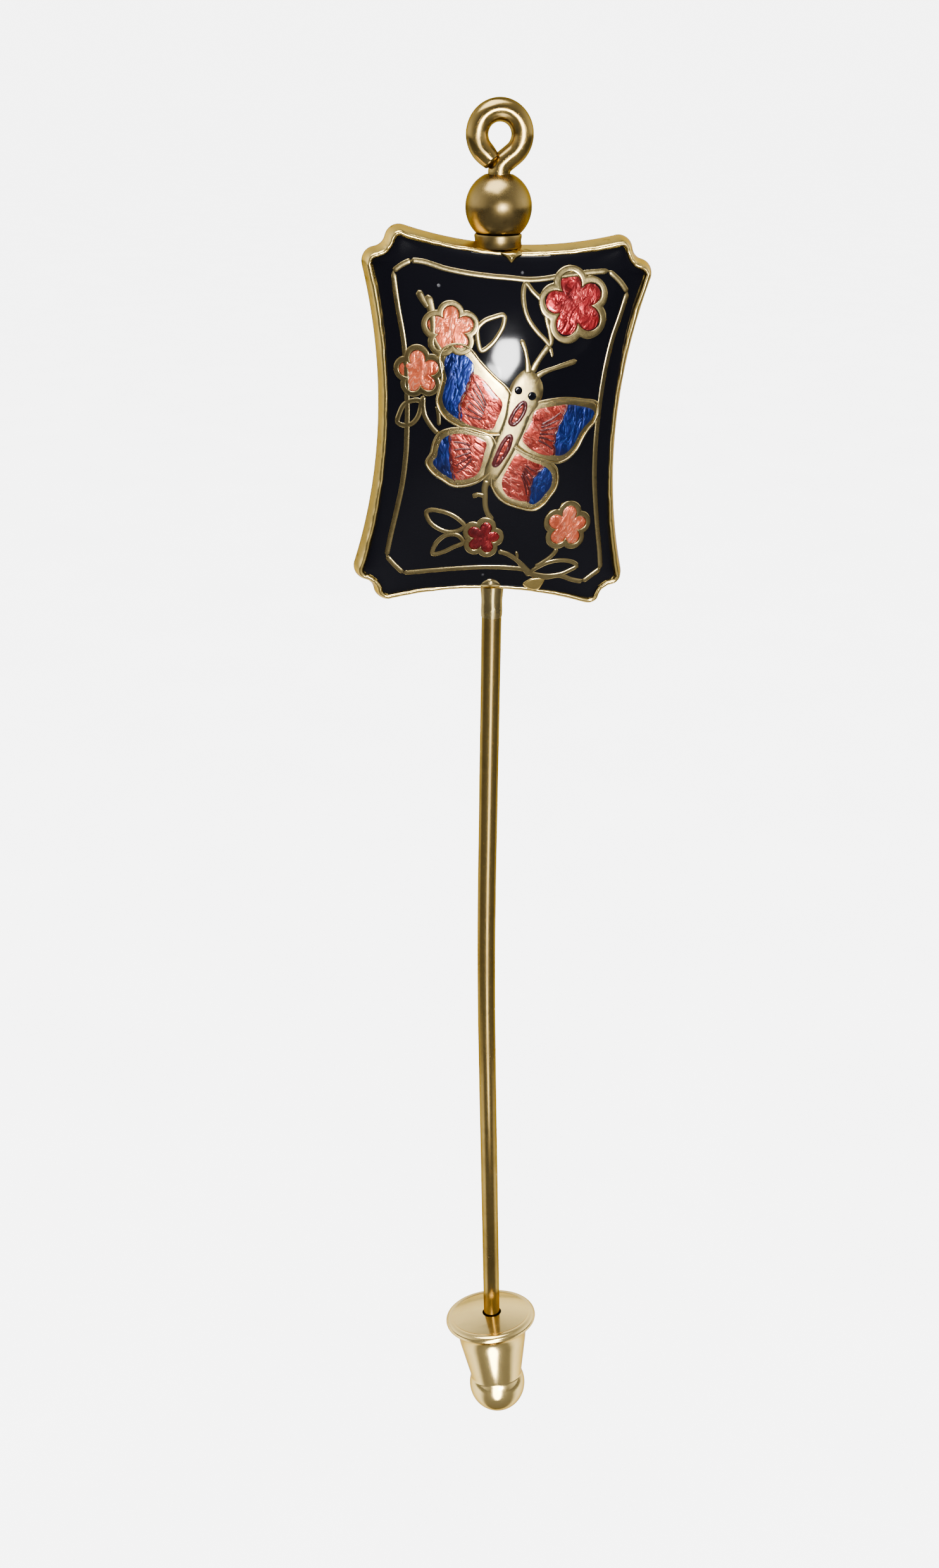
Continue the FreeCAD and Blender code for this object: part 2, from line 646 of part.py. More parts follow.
# ---- build --------------------------------------------------------------------------------------------------
def main():
    os.makedirs("parts", exist_ok=True)
    stem = pin_stem()
    head = eye_wire()
    save(stem, "pin_stem")
    save(head, "eye_wire")
    save(ball_bead(), "ball_bead")
    half = bead_half()
    bead = placed_on_wire(half.fuse(turned_to_back(half)))
    save(seat_cup(bead), "seat_cup")
    save(solder_collar(bead, [stem, head]), "solder_collar")
    shell, enamels = front_half()
    hole = wire_hole()
    for side, turn in (("front", lambda s: s), ("back", turned_to_back)):
        save(one_solid(placed_on_wire(turn(shell)).cut(hole)), side + "_shell")
        for name, enamel in enamels.items():
            save(placed_on_wire(turn(enamel)), side + "_" + name)
    save(on_lower_run(canted(clutch_shell())), "clutch_shell")
    save(on_lower_run(canted(clutch_disc())), "clutch_disc")
    save(on_lower_run(grip_sleeve()), "grip_sleeve")
    print("clutch point", clutch_point(), "direction", lower_direction())
    print("ball centre", ball_centre, "eye centre", neck_z + eye_rise)


main()
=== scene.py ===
"""Looks of an enamelled stick pin: wire with an eye, ball bead, butterfly plaque bead and clutch.

Each piece is a surface of two parameters worked out on a numpy grid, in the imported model's frame. Sizes
below are in millimetres, and MM turns them into the scene's metres.
"""

import json
import math

import bpy
import numpy as np
from bpy.props import FloatProperty, FloatVectorProperty, PointerProperty
from mathutils import Matrix, Vector


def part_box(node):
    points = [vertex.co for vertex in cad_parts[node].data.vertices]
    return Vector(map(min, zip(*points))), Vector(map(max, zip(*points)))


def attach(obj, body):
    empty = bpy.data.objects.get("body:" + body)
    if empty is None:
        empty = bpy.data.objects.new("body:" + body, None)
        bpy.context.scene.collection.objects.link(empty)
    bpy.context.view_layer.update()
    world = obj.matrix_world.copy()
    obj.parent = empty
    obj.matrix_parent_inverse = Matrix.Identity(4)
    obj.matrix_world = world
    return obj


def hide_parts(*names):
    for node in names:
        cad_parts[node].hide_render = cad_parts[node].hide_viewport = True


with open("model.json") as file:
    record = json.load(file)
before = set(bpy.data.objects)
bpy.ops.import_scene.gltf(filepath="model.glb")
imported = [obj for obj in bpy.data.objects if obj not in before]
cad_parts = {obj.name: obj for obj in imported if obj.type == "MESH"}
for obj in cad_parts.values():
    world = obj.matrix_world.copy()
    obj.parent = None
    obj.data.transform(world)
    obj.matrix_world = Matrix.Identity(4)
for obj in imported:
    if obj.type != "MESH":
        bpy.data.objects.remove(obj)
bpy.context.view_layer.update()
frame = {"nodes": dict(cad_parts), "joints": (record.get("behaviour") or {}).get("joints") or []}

bl_info = {
    "name": "Enamelled stick pin",
    "version": (1, 0, 0),
    "blender": (4, 5, 0),
    "location": "View3D > Sidebar > Stick Pin",
    "description": "Builds a stick pin with an enamelled plaque bead and a clutch",
    "category": "Add Mesh",
}

MM = 0.001


# ---- places and sizes from the frame, in millimetres -----------------------------------------------------
def box_mm(node):
    """A CAD node's lowest and highest corners as arrays in millimetres."""
    low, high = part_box(node)
    return np.array(low) / MM, np.array(high) / MM


def unit(vectors):
    """Vectors along the last axis, each divided by its length."""
    return vectors / np.linalg.norm(vectors, axis=-1, keepdims=True)


SHELL_LOW, SHELL_HIGH = box_mm("front_shell")
BALL_LOW, BALL_HIGH = box_mm("ball_bead")
CUP_LOW, CUP_HIGH = box_mm("seat_cup")
STEM_FOOT = box_mm("pin_stem")[0][2]
CLUTCH_FOOT = box_mm("clutch_shell")[0][2]
SOLDER_TOP = box_mm("solder_collar")[1][2]
EYE_TOP = box_mm("eye_wire")[1][2]
BALL_R = (BALL_HIGH[0] - BALL_LOW[0]) / 2
BALL_CENTRE = (BALL_LOW + BALL_HIGH) / 2
PLAQUE_CENTRE = (SHELL_LOW + SHELL_HIGH) / 2 * [1, 0, 1]
JOINTS = {joint["name"]: joint for joint in frame["joints"]}
RUN_WAY = unit(np.array(JOINTS["clutch_slide"]["axis"]))
CLUTCH_POINT = np.array(JOINTS["clutch_turn"]["pos_m"]) / MM
SIDES = ("front", "back")
UP = (0, 0, 1)

# wire
STRAIGHT_RUN = 14.6             # from the origin down to the bend
BEND_LENGTH = 12.0              # along the wire
BEND_TURN = math.atan2(RUN_WAY[0], -RUN_WAY[2])
TAPER = 2.6                     # length of the sharpened point
NECK_BEND = 0.60                # radius of the neck's arc
EYE_BEND = 1.01                 # radius of the eye's centre line
EYE_RISE = 1.57                 # the eye's centre above the neck's foot
EYE_END = math.radians(46)
EYE_TAIL = 0.50                 # straight run after the eye's arc

# clutch, its depths measured down from the rim plane
TILT = math.radians(14.0)
CANT = math.radians(2.9)
LEAN_PIVOT = 1.00
RIM_R = 2.85
ROLL_R = 0.30
BODY_R = 2.10
BODY_TOP = 1.50
WAIST_R = 1.62
BULB_R = 1.77
BULB_CENTRE = 4.65
SHELL_WALL = 0.30
CAP_EDGE = 0.27                 # the disc's edge above the rim plane
CAP_RISE = 0.34
CAP_HOLE = 0.60
CAP_WALL = 0.20

# plaque bead
LEAN = math.radians(2.7)
WAIST = 5.30
SIDE_SAG = 0.95
CORNER_RISE = 7.00
MIDDLE = 7.70
TOP_SAG = 0.70
TOP_CORNER = 5.15
NOTCH = 1.00
NOTCH_DROP = 0.05
CORNER_ROUND = 0.26
EDGE_HEIGHT = 0.82
DOME_RISE = 1.30
DOME_HALF_WIDTH = 5.60
DOME_HALF_HEIGHT = 8.30

# ---- the enamel picture, in the plaque's own x and z from its centre -------------------------------------
# name, x, z, reach of the cell, reach of its metal ring, turn of the first petal in degrees
FLOWERS = [
    ("crimson", 2.98, 5.80, 1.42, 1.66, 104),
    ("peach", -2.60, 4.50, 1.04, 1.24, 94),
    ("peach", -3.98, 2.50, 0.94, 1.13, 99),
    ("peach", 3.52, -4.50, 1.00, 1.20, 86),
    ("crimson", -0.57, -5.10, 0.80, 1.00, 79),
]
RING_GROWTH = 0.06
# each wing: its metal plate, the rest of the rose cell, the rest of the blue cell, and the border they share
WINGS = [
    ([(-3.08, 3.25), (-2.86, 3.70), (-2.30, 3.88), (-1.75, 3.72), (-1.25, 3.20), (-0.60, 2.60), (0.10, 2.00),
      (0.45, 1.20), (0.00, 0.10), (-0.70, -0.06), (-1.40, 0.04), (-2.10, 0.26), (-2.78, 0.64), (-3.12, 1.20),
      (-3.04, 1.80), (-2.94, 2.40)],
     [(-1.02, 2.42), (-0.50, 1.88), (-0.12, 1.48), (-0.12, 1.10), (-0.32, 0.55), (-0.50, 0.14), (-0.95, 0.14),
      (-1.50, 0.26)],
     [(-2.34, 0.60), (-2.72, 0.92), (-2.90, 1.36), (-2.82, 1.90), (-2.74, 2.40), (-2.84, 2.80), (-2.86, 3.24),
      (-2.62, 3.56), (-2.20, 3.60), (-1.80, 3.42), (-1.52, 3.10)],
     [(-1.96, 0.46), (-2.06, 0.90), (-2.02, 1.35), (-1.82, 1.85), (-1.68, 2.30), (-1.52, 2.72)]),
    ([(0.90, 1.30), (1.50, 1.46), (2.20, 1.60), (2.90, 1.66), (3.70, 1.58), (4.36, 1.46), (4.52, 1.00),
      (4.36, 0.52), (4.06, 0.16), (3.84, -0.22), (3.60, -0.72), (3.20, -1.14), (2.76, -1.32), (2.20, -1.26),
      (1.60, -1.10), (1.00, -0.80), (0.55, -0.40), (0.60, 0.40)],
     [(2.00, -1.02), (1.50, -0.84), (1.10, -0.58), (0.84, -0.24), (1.04, 0.22), (1.26, 0.66), (1.42, 1.14),
      (2.00, 1.30), (2.60, 1.38)],
     [(3.60, 1.34), (4.18, 1.20), (4.38, 0.98), (4.20, 0.66), (3.86, 0.30), (3.62, -0.10), (3.40, -0.56),
      (3.08, -0.92), (2.78, -1.06)],
     [(2.92, 1.40), (2.78, 0.90), (2.56, 0.40), (2.44, 0.00), (2.42, -0.50), (2.48, -1.00)]),
    ([(-2.50, 0.08), (-1.90, 0.16), (-1.20, 0.08), (-0.50, -0.20), (-0.30, -0.90), (-0.50, -1.70),
      (-0.90, -2.20), (-1.50, -2.50), (-2.15, -2.58), (-2.72, -2.30), (-3.20, -2.00), (-3.48, -1.58),
      (-3.28, -1.12), (-3.20, -0.66), (-2.98, -0.18)],
     [(-2.00, -0.06), (-1.40, -0.10), (-1.00, -0.24), (-0.72, -0.44), (-0.82, -0.95), (-0.90, -1.50),
      (-1.10, -2.00), (-1.55, -2.26)],
     [(-2.62, -2.10), (-3.00, -1.82), (-3.18, -1.54), (-3.00, -1.24), (-2.94, -0.78), (-2.78, -0.38)],
     [(-2.10, -2.32), (-2.24, -1.90), (-2.34, -1.35), (-2.40, -0.75), (-2.44, -0.16)]),
    ([(0.30, -0.60), (0.95, -0.82), (1.60, -1.06), (2.20, -1.26), (2.62, -1.56), (2.78, -2.04), (2.72, -2.56),
      (2.46, -3.00), (2.16, -3.40), (1.72, -3.64), (1.00, -3.52), (0.30, -3.26), (-0.20, -2.80),
      (-0.42, -2.20), (-0.10, -1.40)],
     [(0.85, -3.20), (0.40, -3.02), (0.10, -2.62), (0.04, -2.16), (0.26, -1.62), (0.66, -0.86), (1.05, -1.04),
      (1.55, -1.26)],
     [(2.38, -1.72), (2.52, -2.08), (2.46, -2.50), (2.22, -2.86), (1.98, -3.18), (1.66, -3.40)],
     [(2.05, -1.48), (1.76, -1.76), (1.52, -2.08), (1.42, -2.55), (1.42, -3.00), (1.38, -3.26)]),
]
WING_GROWTH = 0.07
BODY_GROWTH = 0.14
CELL_GROWTH = 0.05
BODY_PLATE = [(0.55, 2.62), (0.95, 2.92), (1.45, 2.62), (1.66, 2.10), (1.52, 1.52), (1.20, 1.10),
              (1.02, 0.60), (0.78, -0.10), (0.42, -0.90), (0.02, -1.70), (-0.36, -2.36), (-0.66, -2.44),
              (-0.76, -2.00), (-0.60, -1.30), (-0.38, -0.50), (-0.10, 0.20), (0.10, 0.90), (0.18, 1.60),
              (0.30, 2.20)]
BODY_CELLS = [
    [(0.92, 1.36), (0.80, 1.46), (0.58, 1.26), (0.36, 0.90), (0.26, 0.56), (0.44, 0.46), (0.66, 0.66),
     (0.86, 1.00)],
    [(0.36, -0.16), (0.22, -0.10), (-0.02, -0.42), (-0.22, -0.90), (-0.36, -1.38), (-0.24, -1.46),
     (0.02, -1.12), (0.26, -0.66)],
]
# each fan of dark veins: its root, the two ends of its far edge and the number of veins
VEINS = [
    ((-0.45, 0.45), (-1.45, 2.50), (-1.95, 0.72), 6),
    ((1.10, 0.05), (2.72, 1.22), (2.38, -0.86), 6),
    ((-0.90, -0.70), (-2.34, -0.34), (-2.08, -2.12), 5),
    ((0.75, -1.20), (1.72, -1.64), (1.30, -3.06), 5),
]
VEIN_WIDTH = 0.115
VEIN_RISE = 0.044               # above the cells
VEIN_START = 0.40               # share of the way from the fan's root to its far edge
WING_EDGE_RISE = 0.075
BODY_MIDDLE = (0.45, 0.30)
WING_RISE = 0.03
BODY_FOOT = -0.05
BODY_RISE = 0.09
BODY_FILL_RISE = BODY_RISE + 0.025
EYE_SPOT_RISE = BODY_RISE + 0.04
BODY_RING_RISE = BODY_RISE + 0.06
BODY_RING = 0.24
# each eye's x, z and radius
EYES = [(0.55, 2.00, 0.20), (1.21, 1.77, 0.21)]
# left, right, top and bottom runs of the frame line, then its four cut corners
FRAME_RUNS = [
    [(-5.28, 6.82), (-5.04, 5.40), (-4.74, 4.00), (-4.56, 2.60), (-4.46, 1.20), (-4.42, 0.00), (-4.42, -1.20),
     (-4.52, -2.60), (-4.74, -4.00), (-4.96, -5.20), (-5.14, -6.34)],
    [(5.46, 6.36), (5.20, 5.30), (4.92, 4.30), (4.70, 3.00), (4.58, 1.60), (4.54, 0.30), (4.56, -0.90),
     (4.66, -2.20), (4.86, -3.50), (5.10, -4.80), (5.32, -5.90), (5.44, -6.74)],
    [(-4.50, 7.32), (-3.90, 7.28), (-3.00, 7.06), (-2.00, 6.92), (-1.00, 6.84), (0.00, 6.80), (0.80, 6.76),
     (1.60, 6.84), (2.40, 7.00), (3.40, 7.14), (4.50, 7.26)],
    [(-4.30, -7.16), (-3.40, -7.02), (-2.40, -6.88), (-1.40, -6.76), (-0.40, -6.68), (0.70, -6.68),
     (1.60, -6.78), (2.10, -7.10), (2.70, -7.20), (3.40, -7.10), (4.00, -7.30), (4.60, -7.42)],
    [(-5.28, 6.82), (-4.92, 7.10), (-4.50, 7.32)],
    [(5.46, 6.36), (5.06, 6.82), (4.50, 7.26)],
    [(-5.14, -6.34), (-4.74, -6.76), (-4.30, -7.16)],
    [(5.44, -6.74), (5.04, -7.06), (4.60, -7.42)],
]
# points of each stem, then its width at the start, middle and end
STEMS = [
    ([(1.36, 2.60), (1.80, 2.86), (2.50, 3.10), (3.26, 3.34)], (0.30, 0.20, 0.26)),
    ([(0.98, 2.70), (0.92, 3.20), (0.78, 3.76), (0.58, 4.22)], (0.34, 0.18, 0.24)),
    ([(1.16, 2.80), (1.34, 3.20), (1.60, 3.60), (1.92, 4.02)], (0.34, 0.26, 0.30)),
    ([(1.92, 3.92), (2.02, 3.66), (2.06, 3.48)], (0.22, 0.16, 0.12)),
    ([(-0.62, -2.20), (-0.70, -2.60), (-0.66, -3.00), (-0.60, -3.50), (-0.44, -3.90), (-0.20, -4.20)],
     (0.34, 0.26, 0.24)),
    ([(-0.66, -3.00), (-0.98, -2.94), (-1.26, -3.04)], (0.24, 0.22, 0.26)),
    ([(0.20, -5.80), (0.70, -5.96), (1.20, -6.30), (1.60, -6.70), (1.96, -7.10)], (0.26, 0.22, 0.40)),
    ([(1.14, -6.24), (1.16, -6.00), (1.08, -5.80)], (0.22, 0.16, 0.14)),
    ([(2.10, -6.62), (2.60, -6.28), (2.94, -5.96), (3.12, -5.66)], (0.22, 0.22, 0.26)),
    ([(-3.02, 3.50), (-3.40, 4.10), (-3.44, 4.70), (-3.52, 5.20), (-3.74, 5.90)], (0.24, 0.26, 0.44)),
    ([(-3.66, 5.36), (-3.92, 5.68), (-4.16, 6.06)], (0.26, 0.30, 0.34)),
    ([(-3.76, 1.50), (-3.74, 1.00), (-3.62, 0.56), (-3.30, 0.10), (-3.02, -0.16)], (0.26, 0.24, 0.24)),
    ([(-3.12, 1.10), (-3.02, 0.70), (-2.98, 0.20)], (0.20, 0.20, 0.20)),
    ([(2.02, 4.10), (1.88, 4.60), (1.78, 5.00)], (0.26, 0.22, 0.22)),
]
LEAVES = [
    [(0.68, 6.62), (0.58, 6.20), (0.66, 5.60), (0.88, 5.08), (1.26, 4.62), (1.66, 4.26), (1.94, 4.02),
     (1.96, 4.40), (1.76, 4.94), (1.62, 5.50), (1.38, 5.96), (1.00, 6.30)],
    [(-1.44, 4.56), (-1.16, 4.92), (-0.72, 5.12), (-0.28, 5.22), (-0.26, 4.84), (-0.46, 4.40), (-0.78, 3.96),
     (-1.20, 3.66), (-1.38, 3.98)],
    [(-3.86, 1.22), (-4.26, 1.22), (-4.60, 1.00), (-4.78, 0.60), (-4.86, 0.18), (-4.56, 0.06), (-4.16, 0.22),
     (-3.90, 0.66)],
    [(-1.52, -4.54), (-1.96, -4.12), (-2.50, -3.90), (-3.10, -3.84), (-3.36, -4.00), (-3.20, -4.40),
     (-2.84, -4.70), (-2.36, -4.88), (-1.90, -4.84)],
    [(-1.52, -5.40), (-1.96, -5.66), (-2.46, -5.96), (-2.94, -6.08), (-2.88, -5.66), (-2.66, -5.30),
     (-2.30, -5.04), (-1.80, -5.04)],
    [(1.96, -6.92), (2.40, -6.56), (2.90, -6.34), (3.46, -6.28), (3.98, -6.38), (4.20, -6.60), (3.86, -6.82),
     (3.40, -7.02), (2.70, -7.10)],
]
DROP_AT_TOP = [(-0.56, 7.86), (-0.30, 7.62), (0.00, 7.36), (0.26, 7.60), (0.52, 7.84), (0.00, 7.96)]
PATCH_AT_FOOT = [(1.55, -7.58), (1.90, -7.26), (2.40, -7.16), (2.72, -7.24), (2.62, -7.62), (2.40, -7.94),
                 (1.90, -7.88)]
SOLDER_BLOB = [(-0.66, -7.80), (-0.56, -7.48), (-0.30, -7.28), (0.00, -7.20), (0.34, -7.30), (0.60, -7.52),
               (0.70, -7.80), (0.02, -7.98)]


# ---- curves ----------------------------------------------------------------------------------------------
def spline_blend(p0, p1, p2, p3, t):
    """A smooth step from p1 to p2, by Catmull and Rom's cubic.

    It is half of 2 p1 + (p2 - p0) t + (2 p0 - 5 p1 + 4 p2 - p3) t^2 + (3 p1 - p0 - 3 p2 + p3) t^3.
    """
    return 0.5 * (2 * p1 + (p2 - p0) * t + (2 * p0 - 5 * p1 + 4 * p2 - p3) * t ** 2
                  + (3 * p1 - p0 - 3 * p2 + p3) * t ** 3)


def smooth_loop(points, steps=8):
    """A closed smooth curve through the points, so many steps between each two."""
    p = np.array(points, float)
    t = np.linspace(0, 1, steps, endpoint=False)[None, :, None]
    shifted = [np.roll(p, shift, 0)[:, None, :] for shift in (1, 0, -1, -2)]
    return spline_blend(*shifted, t).reshape(-1, p.shape[1])


def smooth_path(points, steps=8):
    """An open smooth curve through the points, its end tangents carried straight on."""
    p = np.array(points, float)
    p = np.vstack([2 * p[:1] - p[1:2], p, 2 * p[-1:] - p[-2:-1]])
    t = np.linspace(0, 1, steps, endpoint=False)[None, :, None]
    body = spline_blend(p[:-3, None, :], p[1:-2, None, :], p[2:-1, None, :], p[3:, None, :], t)
    return np.vstack([body.reshape(-1, p.shape[1]), p[-2:-1]])


def side_normals(path, closed):
    """Unit normals of a flat path, its tangent turned a quarter turn."""
    if closed:
        along = np.roll(path, -1, 0) - np.roll(path, 1, 0)
    else:
        along = np.gradient(path, axis=0)
    along = unit(along)
    return np.stack([-along[:, 1], along[:, 0]], 1)


# ---- plaque shape ----------------------------------------------------------------------------------------
def crossing(c1, r1, c2, r2, coordinate):
    """Where two circles cross, the crossing with the smaller x (coordinate 0) or z (coordinate 1)."""
    c1, c2 = np.array(c1, float), np.array(c2, float)
    apart = np.linalg.norm(c2 - c1)
    way = (c2 - c1) / apart
    along = (r1 ** 2 - r2 ** 2 + apart ** 2) / (2 * apart)
    off = math.sqrt(r1 ** 2 - along ** 2) * np.array([way[1], -way[0]])
    return min([c1 + along * way + off, c1 + along * way - off], key=lambda point: point[coordinate])


def arc_part(centre, r, start, end, steps):
    """Points on an arc between two angles, and the unit vectors back to its centre."""
    turn = np.linspace(start, end, steps)
    out = np.stack([np.cos(turn), np.sin(turn)], 1)
    return np.array(centre) + r * out, -out


def fan_part(corner, start_normal, end_normal, steps):
    """One corner point repeated while the normal swings from one side's to the next's."""
    start = math.atan2(start_normal[1], start_normal[0])
    end = math.atan2(end_normal[1], end_normal[0])
    swing = (end - start + math.pi) % (2 * math.pi) - math.pi
    turn = start + swing * np.linspace(0, 1, steps + 2)[1:-1]
    return np.repeat(corner[None, :], steps, 0), np.stack([np.cos(turn), np.sin(turn)], 1)


def outline_base():
    """The plaque's sharp inset outline and outward normals, from one quarter mirrored about both axes.

    A side bows inwards on a circle through its middle and its corners, as the top does, and a circle at
    the corner cuts the notch. A point of the rounded outline is the base point plus its normal times the
    offset.
    """
    side_r = (SIDE_SAG ** 2 + CORNER_RISE ** 2) / (2 * SIDE_SAG)
    top_r = (TOP_SAG ** 2 + TOP_CORNER ** 2) / (2 * TOP_SAG)
    side_centre = (WAIST + side_r, 0.0)
    top_centre = (0.0, MIDDLE + top_r)
    notch_centre = (WAIST + SIDE_SAG, MIDDLE + TOP_SAG - NOTCH_DROP)
    side_r += CORNER_ROUND
    top_r += CORNER_ROUND
    notch_r = NOTCH + CORNER_ROUND
    side_end = crossing(side_centre, side_r, notch_centre, notch_r, 1)
    top_end = crossing(top_centre, top_r, notch_centre, notch_r, 0)

    def angle(centre, point):
        return math.atan2(point[1] - centre[1], point[0] - centre[0]) % (2 * math.pi)

    side, side_n = arc_part(side_centre, side_r, math.pi, angle(side_centre, side_end), 44)
    notch_turns = angle(notch_centre, side_end), angle(notch_centre, top_end)
    notch, notch_n = arc_part(notch_centre, notch_r, *notch_turns, 22)
    top, top_n = arc_part(top_centre, top_r, angle(top_centre, top_end), 1.5 * math.pi, 36)
    first, first_n = fan_part(side_end, side_n[-1], notch_n[0], 7)
    last, last_n = fan_part(top_end, notch_n[-1], top_n[0], 7)
    base = np.vstack([side, first, notch, last, top])
    normal = np.vstack([side_n, first_n, notch_n, last_n, top_n])
    flip_x, flip_z = np.array([-1, 1]), np.array([1, -1])
    quarters = [(base, normal), (base[::-1][1:] * flip_x, normal[::-1][1:] * flip_x),
                (base[1:] * flip_x * flip_z, normal[1:] * flip_x * flip_z),
                (base[::-1][1:-1] * flip_z, normal[::-1][1:-1] * flip_z)]
    return np.vstack([q[0] for q in quarters]), np.vstack([q[1] for q in quarters])


OUTLINE, OUTLINE_NORMAL = outline_base()


def outline(grown=0.0):
    """The enamel's outline grown by so many millimetres."""
    return OUTLINE + (CORNER_ROUND + grown) * OUTLINE_NORMAL


def dome(x, z):
    """Height above the girdle: edge + rise (1 - (x / half width)^2) (1 - (z / half height)^2)."""
    return EDGE_HEIGHT + DOME_RISE * (1 - (x / DOME_HALF_WIDTH) ** 2) * (1 - (z / DOME_HALF_HEIGHT) ** 2)


def on_face(flat, level):
    """Points on the domed face, raised by a level, in the plaque's own frame."""
    x, z = flat[..., 0], flat[..., 1]
    return np.stack([x, -(dome(x, z) + level), z], -1)


def on_wire(points, side):
    """Plaque points moved to their place: the back is the front turned about Z, and both lean alike."""
    p = points * (np.array([-1, -1, 1]) if side == "back" else 1.0)
    x = p[..., 0] * math.cos(LEAN) + p[..., 2] * math.sin(LEAN)
    z = -p[..., 0] * math.sin(LEAN) + p[..., 2] * math.cos(LEAN)
    return np.stack([x, p[..., 1], z], -1) + PLAQUE_CENTRE


# ---- surfaces --------------------------------------------------------------------------------------------
def ring_surface(rings, start=None, end=None):
    """Vertices and face arrays of a closed surface: rings in order, closed by end points or onto themselves.

    rings is an array of ring, point, coordinate. Each ring closes on itself. The faces are turned outwards by
    the sign of the volume, the sum over faces of first . (second x third + third x fourth).
    """
    count, around = rings.shape[:2]
    wraps = start is None
    i = np.arange(count if wraps else count - 1)[:, None]
    j = np.arange(around)[None, :]
    next_i, next_j = (i + 1) % count, (j + 1) % around
    corners = [i * around + j, i * around + next_j, next_i * around + next_j, next_i * around + j]
    faces = [np.stack(corners, -1).reshape(-1, 4)]
    points = rings.reshape(-1, 3)
    if not wraps:
        points = np.vstack([points, start, end])
        k = np.arange(around)
        last = (count - 1) * around
        foot = [np.full(around, count * around), (k + 1) % around, k]
        head = [np.full(around, count * around + 1), last + k, last + (k + 1) % around]
        faces.append(np.concatenate([np.stack(foot, -1), np.stack(head, -1)]))
    volume = 0.0
    for block in faces:
        first, second, third, fourth = (points[block[:, corner]] for corner in (0, 1, 2, -1))
        volume += np.sum(first * (np.cross(second, third) + np.cross(third, fourth)))
    if volume < 0:
        faces = [block[:, ::-1] for block in faces]
    return points, faces


def make_piece(name, surfaces, material, sharp=50):
    """One mesh object from closed surfaces in millimetres, smooth but for edges sharper than the angle."""
    points, faces, base = [], [], 0
    for surface_points, face_blocks in surfaces:
        points.append(surface_points)
        for block in face_blocks:
            faces += (block + base).tolist()
        base += len(surface_points)
    mesh = bpy.data.meshes.new(name)
    mesh.from_pydata((np.vstack(points) * MM).tolist(), [], faces)
    mesh.polygons.foreach_set("use_smooth", np.ones(len(mesh.polygons), bool))
    mesh.set_sharp_from_angle(angle=math.radians(sharp))
    mesh.materials.append(material)
    mesh.update()
    piece = bpy.data.objects.new(name, mesh)
    bpy.context.scene.collection.objects.link(piece)
    return piece


def settle(name, surfaces, material, body, slot_name, *nodes, sharp=50):
    """Makes a piece, puts it on its body and hides the CAD nodes that it stands for. The slot name is not
    used.
    """
    piece = make_piece(name, surfaces, material, sharp)
    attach(piece, body)
    if nodes:
        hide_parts(*nodes)


def round_ways(axis, steps):
    """Two unit sides square to an axis, and unit vectors out from it all round: cos a side + sin a other."""
    side = unit(np.cross(axis, [0.0, 1.0, 0.0]))
    other = np.cross(axis, side)
    turn = np.linspace(0, 2 * math.pi, steps, endpoint=False)
    return side, other, np.cos(turn)[:, None] * side + np.sin(turn)[:, None] * other


def turned_piece(profile, axis_point, axis, steps=96):
    """A ring-shaped turned part, from a closed profile of radius and height that never meets the axis.

    A point is the axis point + height times the axis + radius times the way out.
    """
    axis = unit(np.array(axis, float))
    out = round_ways(axis, steps)[2]
    radius, height = np.array(profile, float).T
    return ring_surface(np.array(axis_point) + height[:, None] * axis + radius[:, None] * out[:, None, :])


PLATE_SKIN = 0.02
LINE_FOOT = -0.06
LINE_SIDES = 14                 # points round a line's section
LINE_SQUARE = 0.6               # 1 is an ellipse, and less is squarer


def on_plaque(side, rings, *ends):
    """A closed surface built in the plaque's own frame and moved to the plaque's place."""
    points, faces = ring_surface(rings, *ends)
    return on_wire(points, side), faces


def plate_on_face(loop, top, foot, side, rings, fullness, centre=None, wobble=None):
    """A raised plate inside a closed curve, about its mean point where no centre is given.

    With v from 0 at the centre to 1 at the curve, its top is at top (1 - v^fullness) + foot v^fullness, and
    its underside lies just below the foot level.
    """
    centre = loop.mean(0) if centre is None else np.array(centre, float)
    v = np.sin(np.linspace(0.06, 1, rings) * math.pi / 2)[:, None]
    flat = centre + v[..., None] * (loop - centre)
    level = top * (1 - v ** fullness) + foot * v ** fullness
    if wobble is not None:
        level = level + wobble(flat[..., 0], flat[..., 1]) * (1 - v ** 4)
    under = foot - PLATE_SKIN
    sheet = np.concatenate([on_face(flat, level), on_face(flat[::-1], under)])
    return on_plaque(side, sheet, on_face(centre, top), on_face(centre, under))


def section(width, height, foot):
    """Offsets and levels round a raised line: cos a across, and (sin a)^square above or the foot below."""
    turn = np.linspace(0, 2 * math.pi, LINE_SIDES, endpoint=False) + math.pi / LINE_SIDES
    above = np.maximum(np.sin(turn), 0) ** LINE_SQUARE * height
    below = np.maximum(-np.sin(turn), 0) ** LINE_SQUARE * foot
    return 0.5 * width * np.cos(turn), above + below


def line_loop(loop, width, height, side):
    """A raised line along a closed curve on the face."""
    across, level = section(width, height, LINE_FOOT)
    flat = loop[:, None, :] + side_normals(loop, True)[:, None, :] * across[:, None]
    return on_plaque(side, on_face(flat, level))


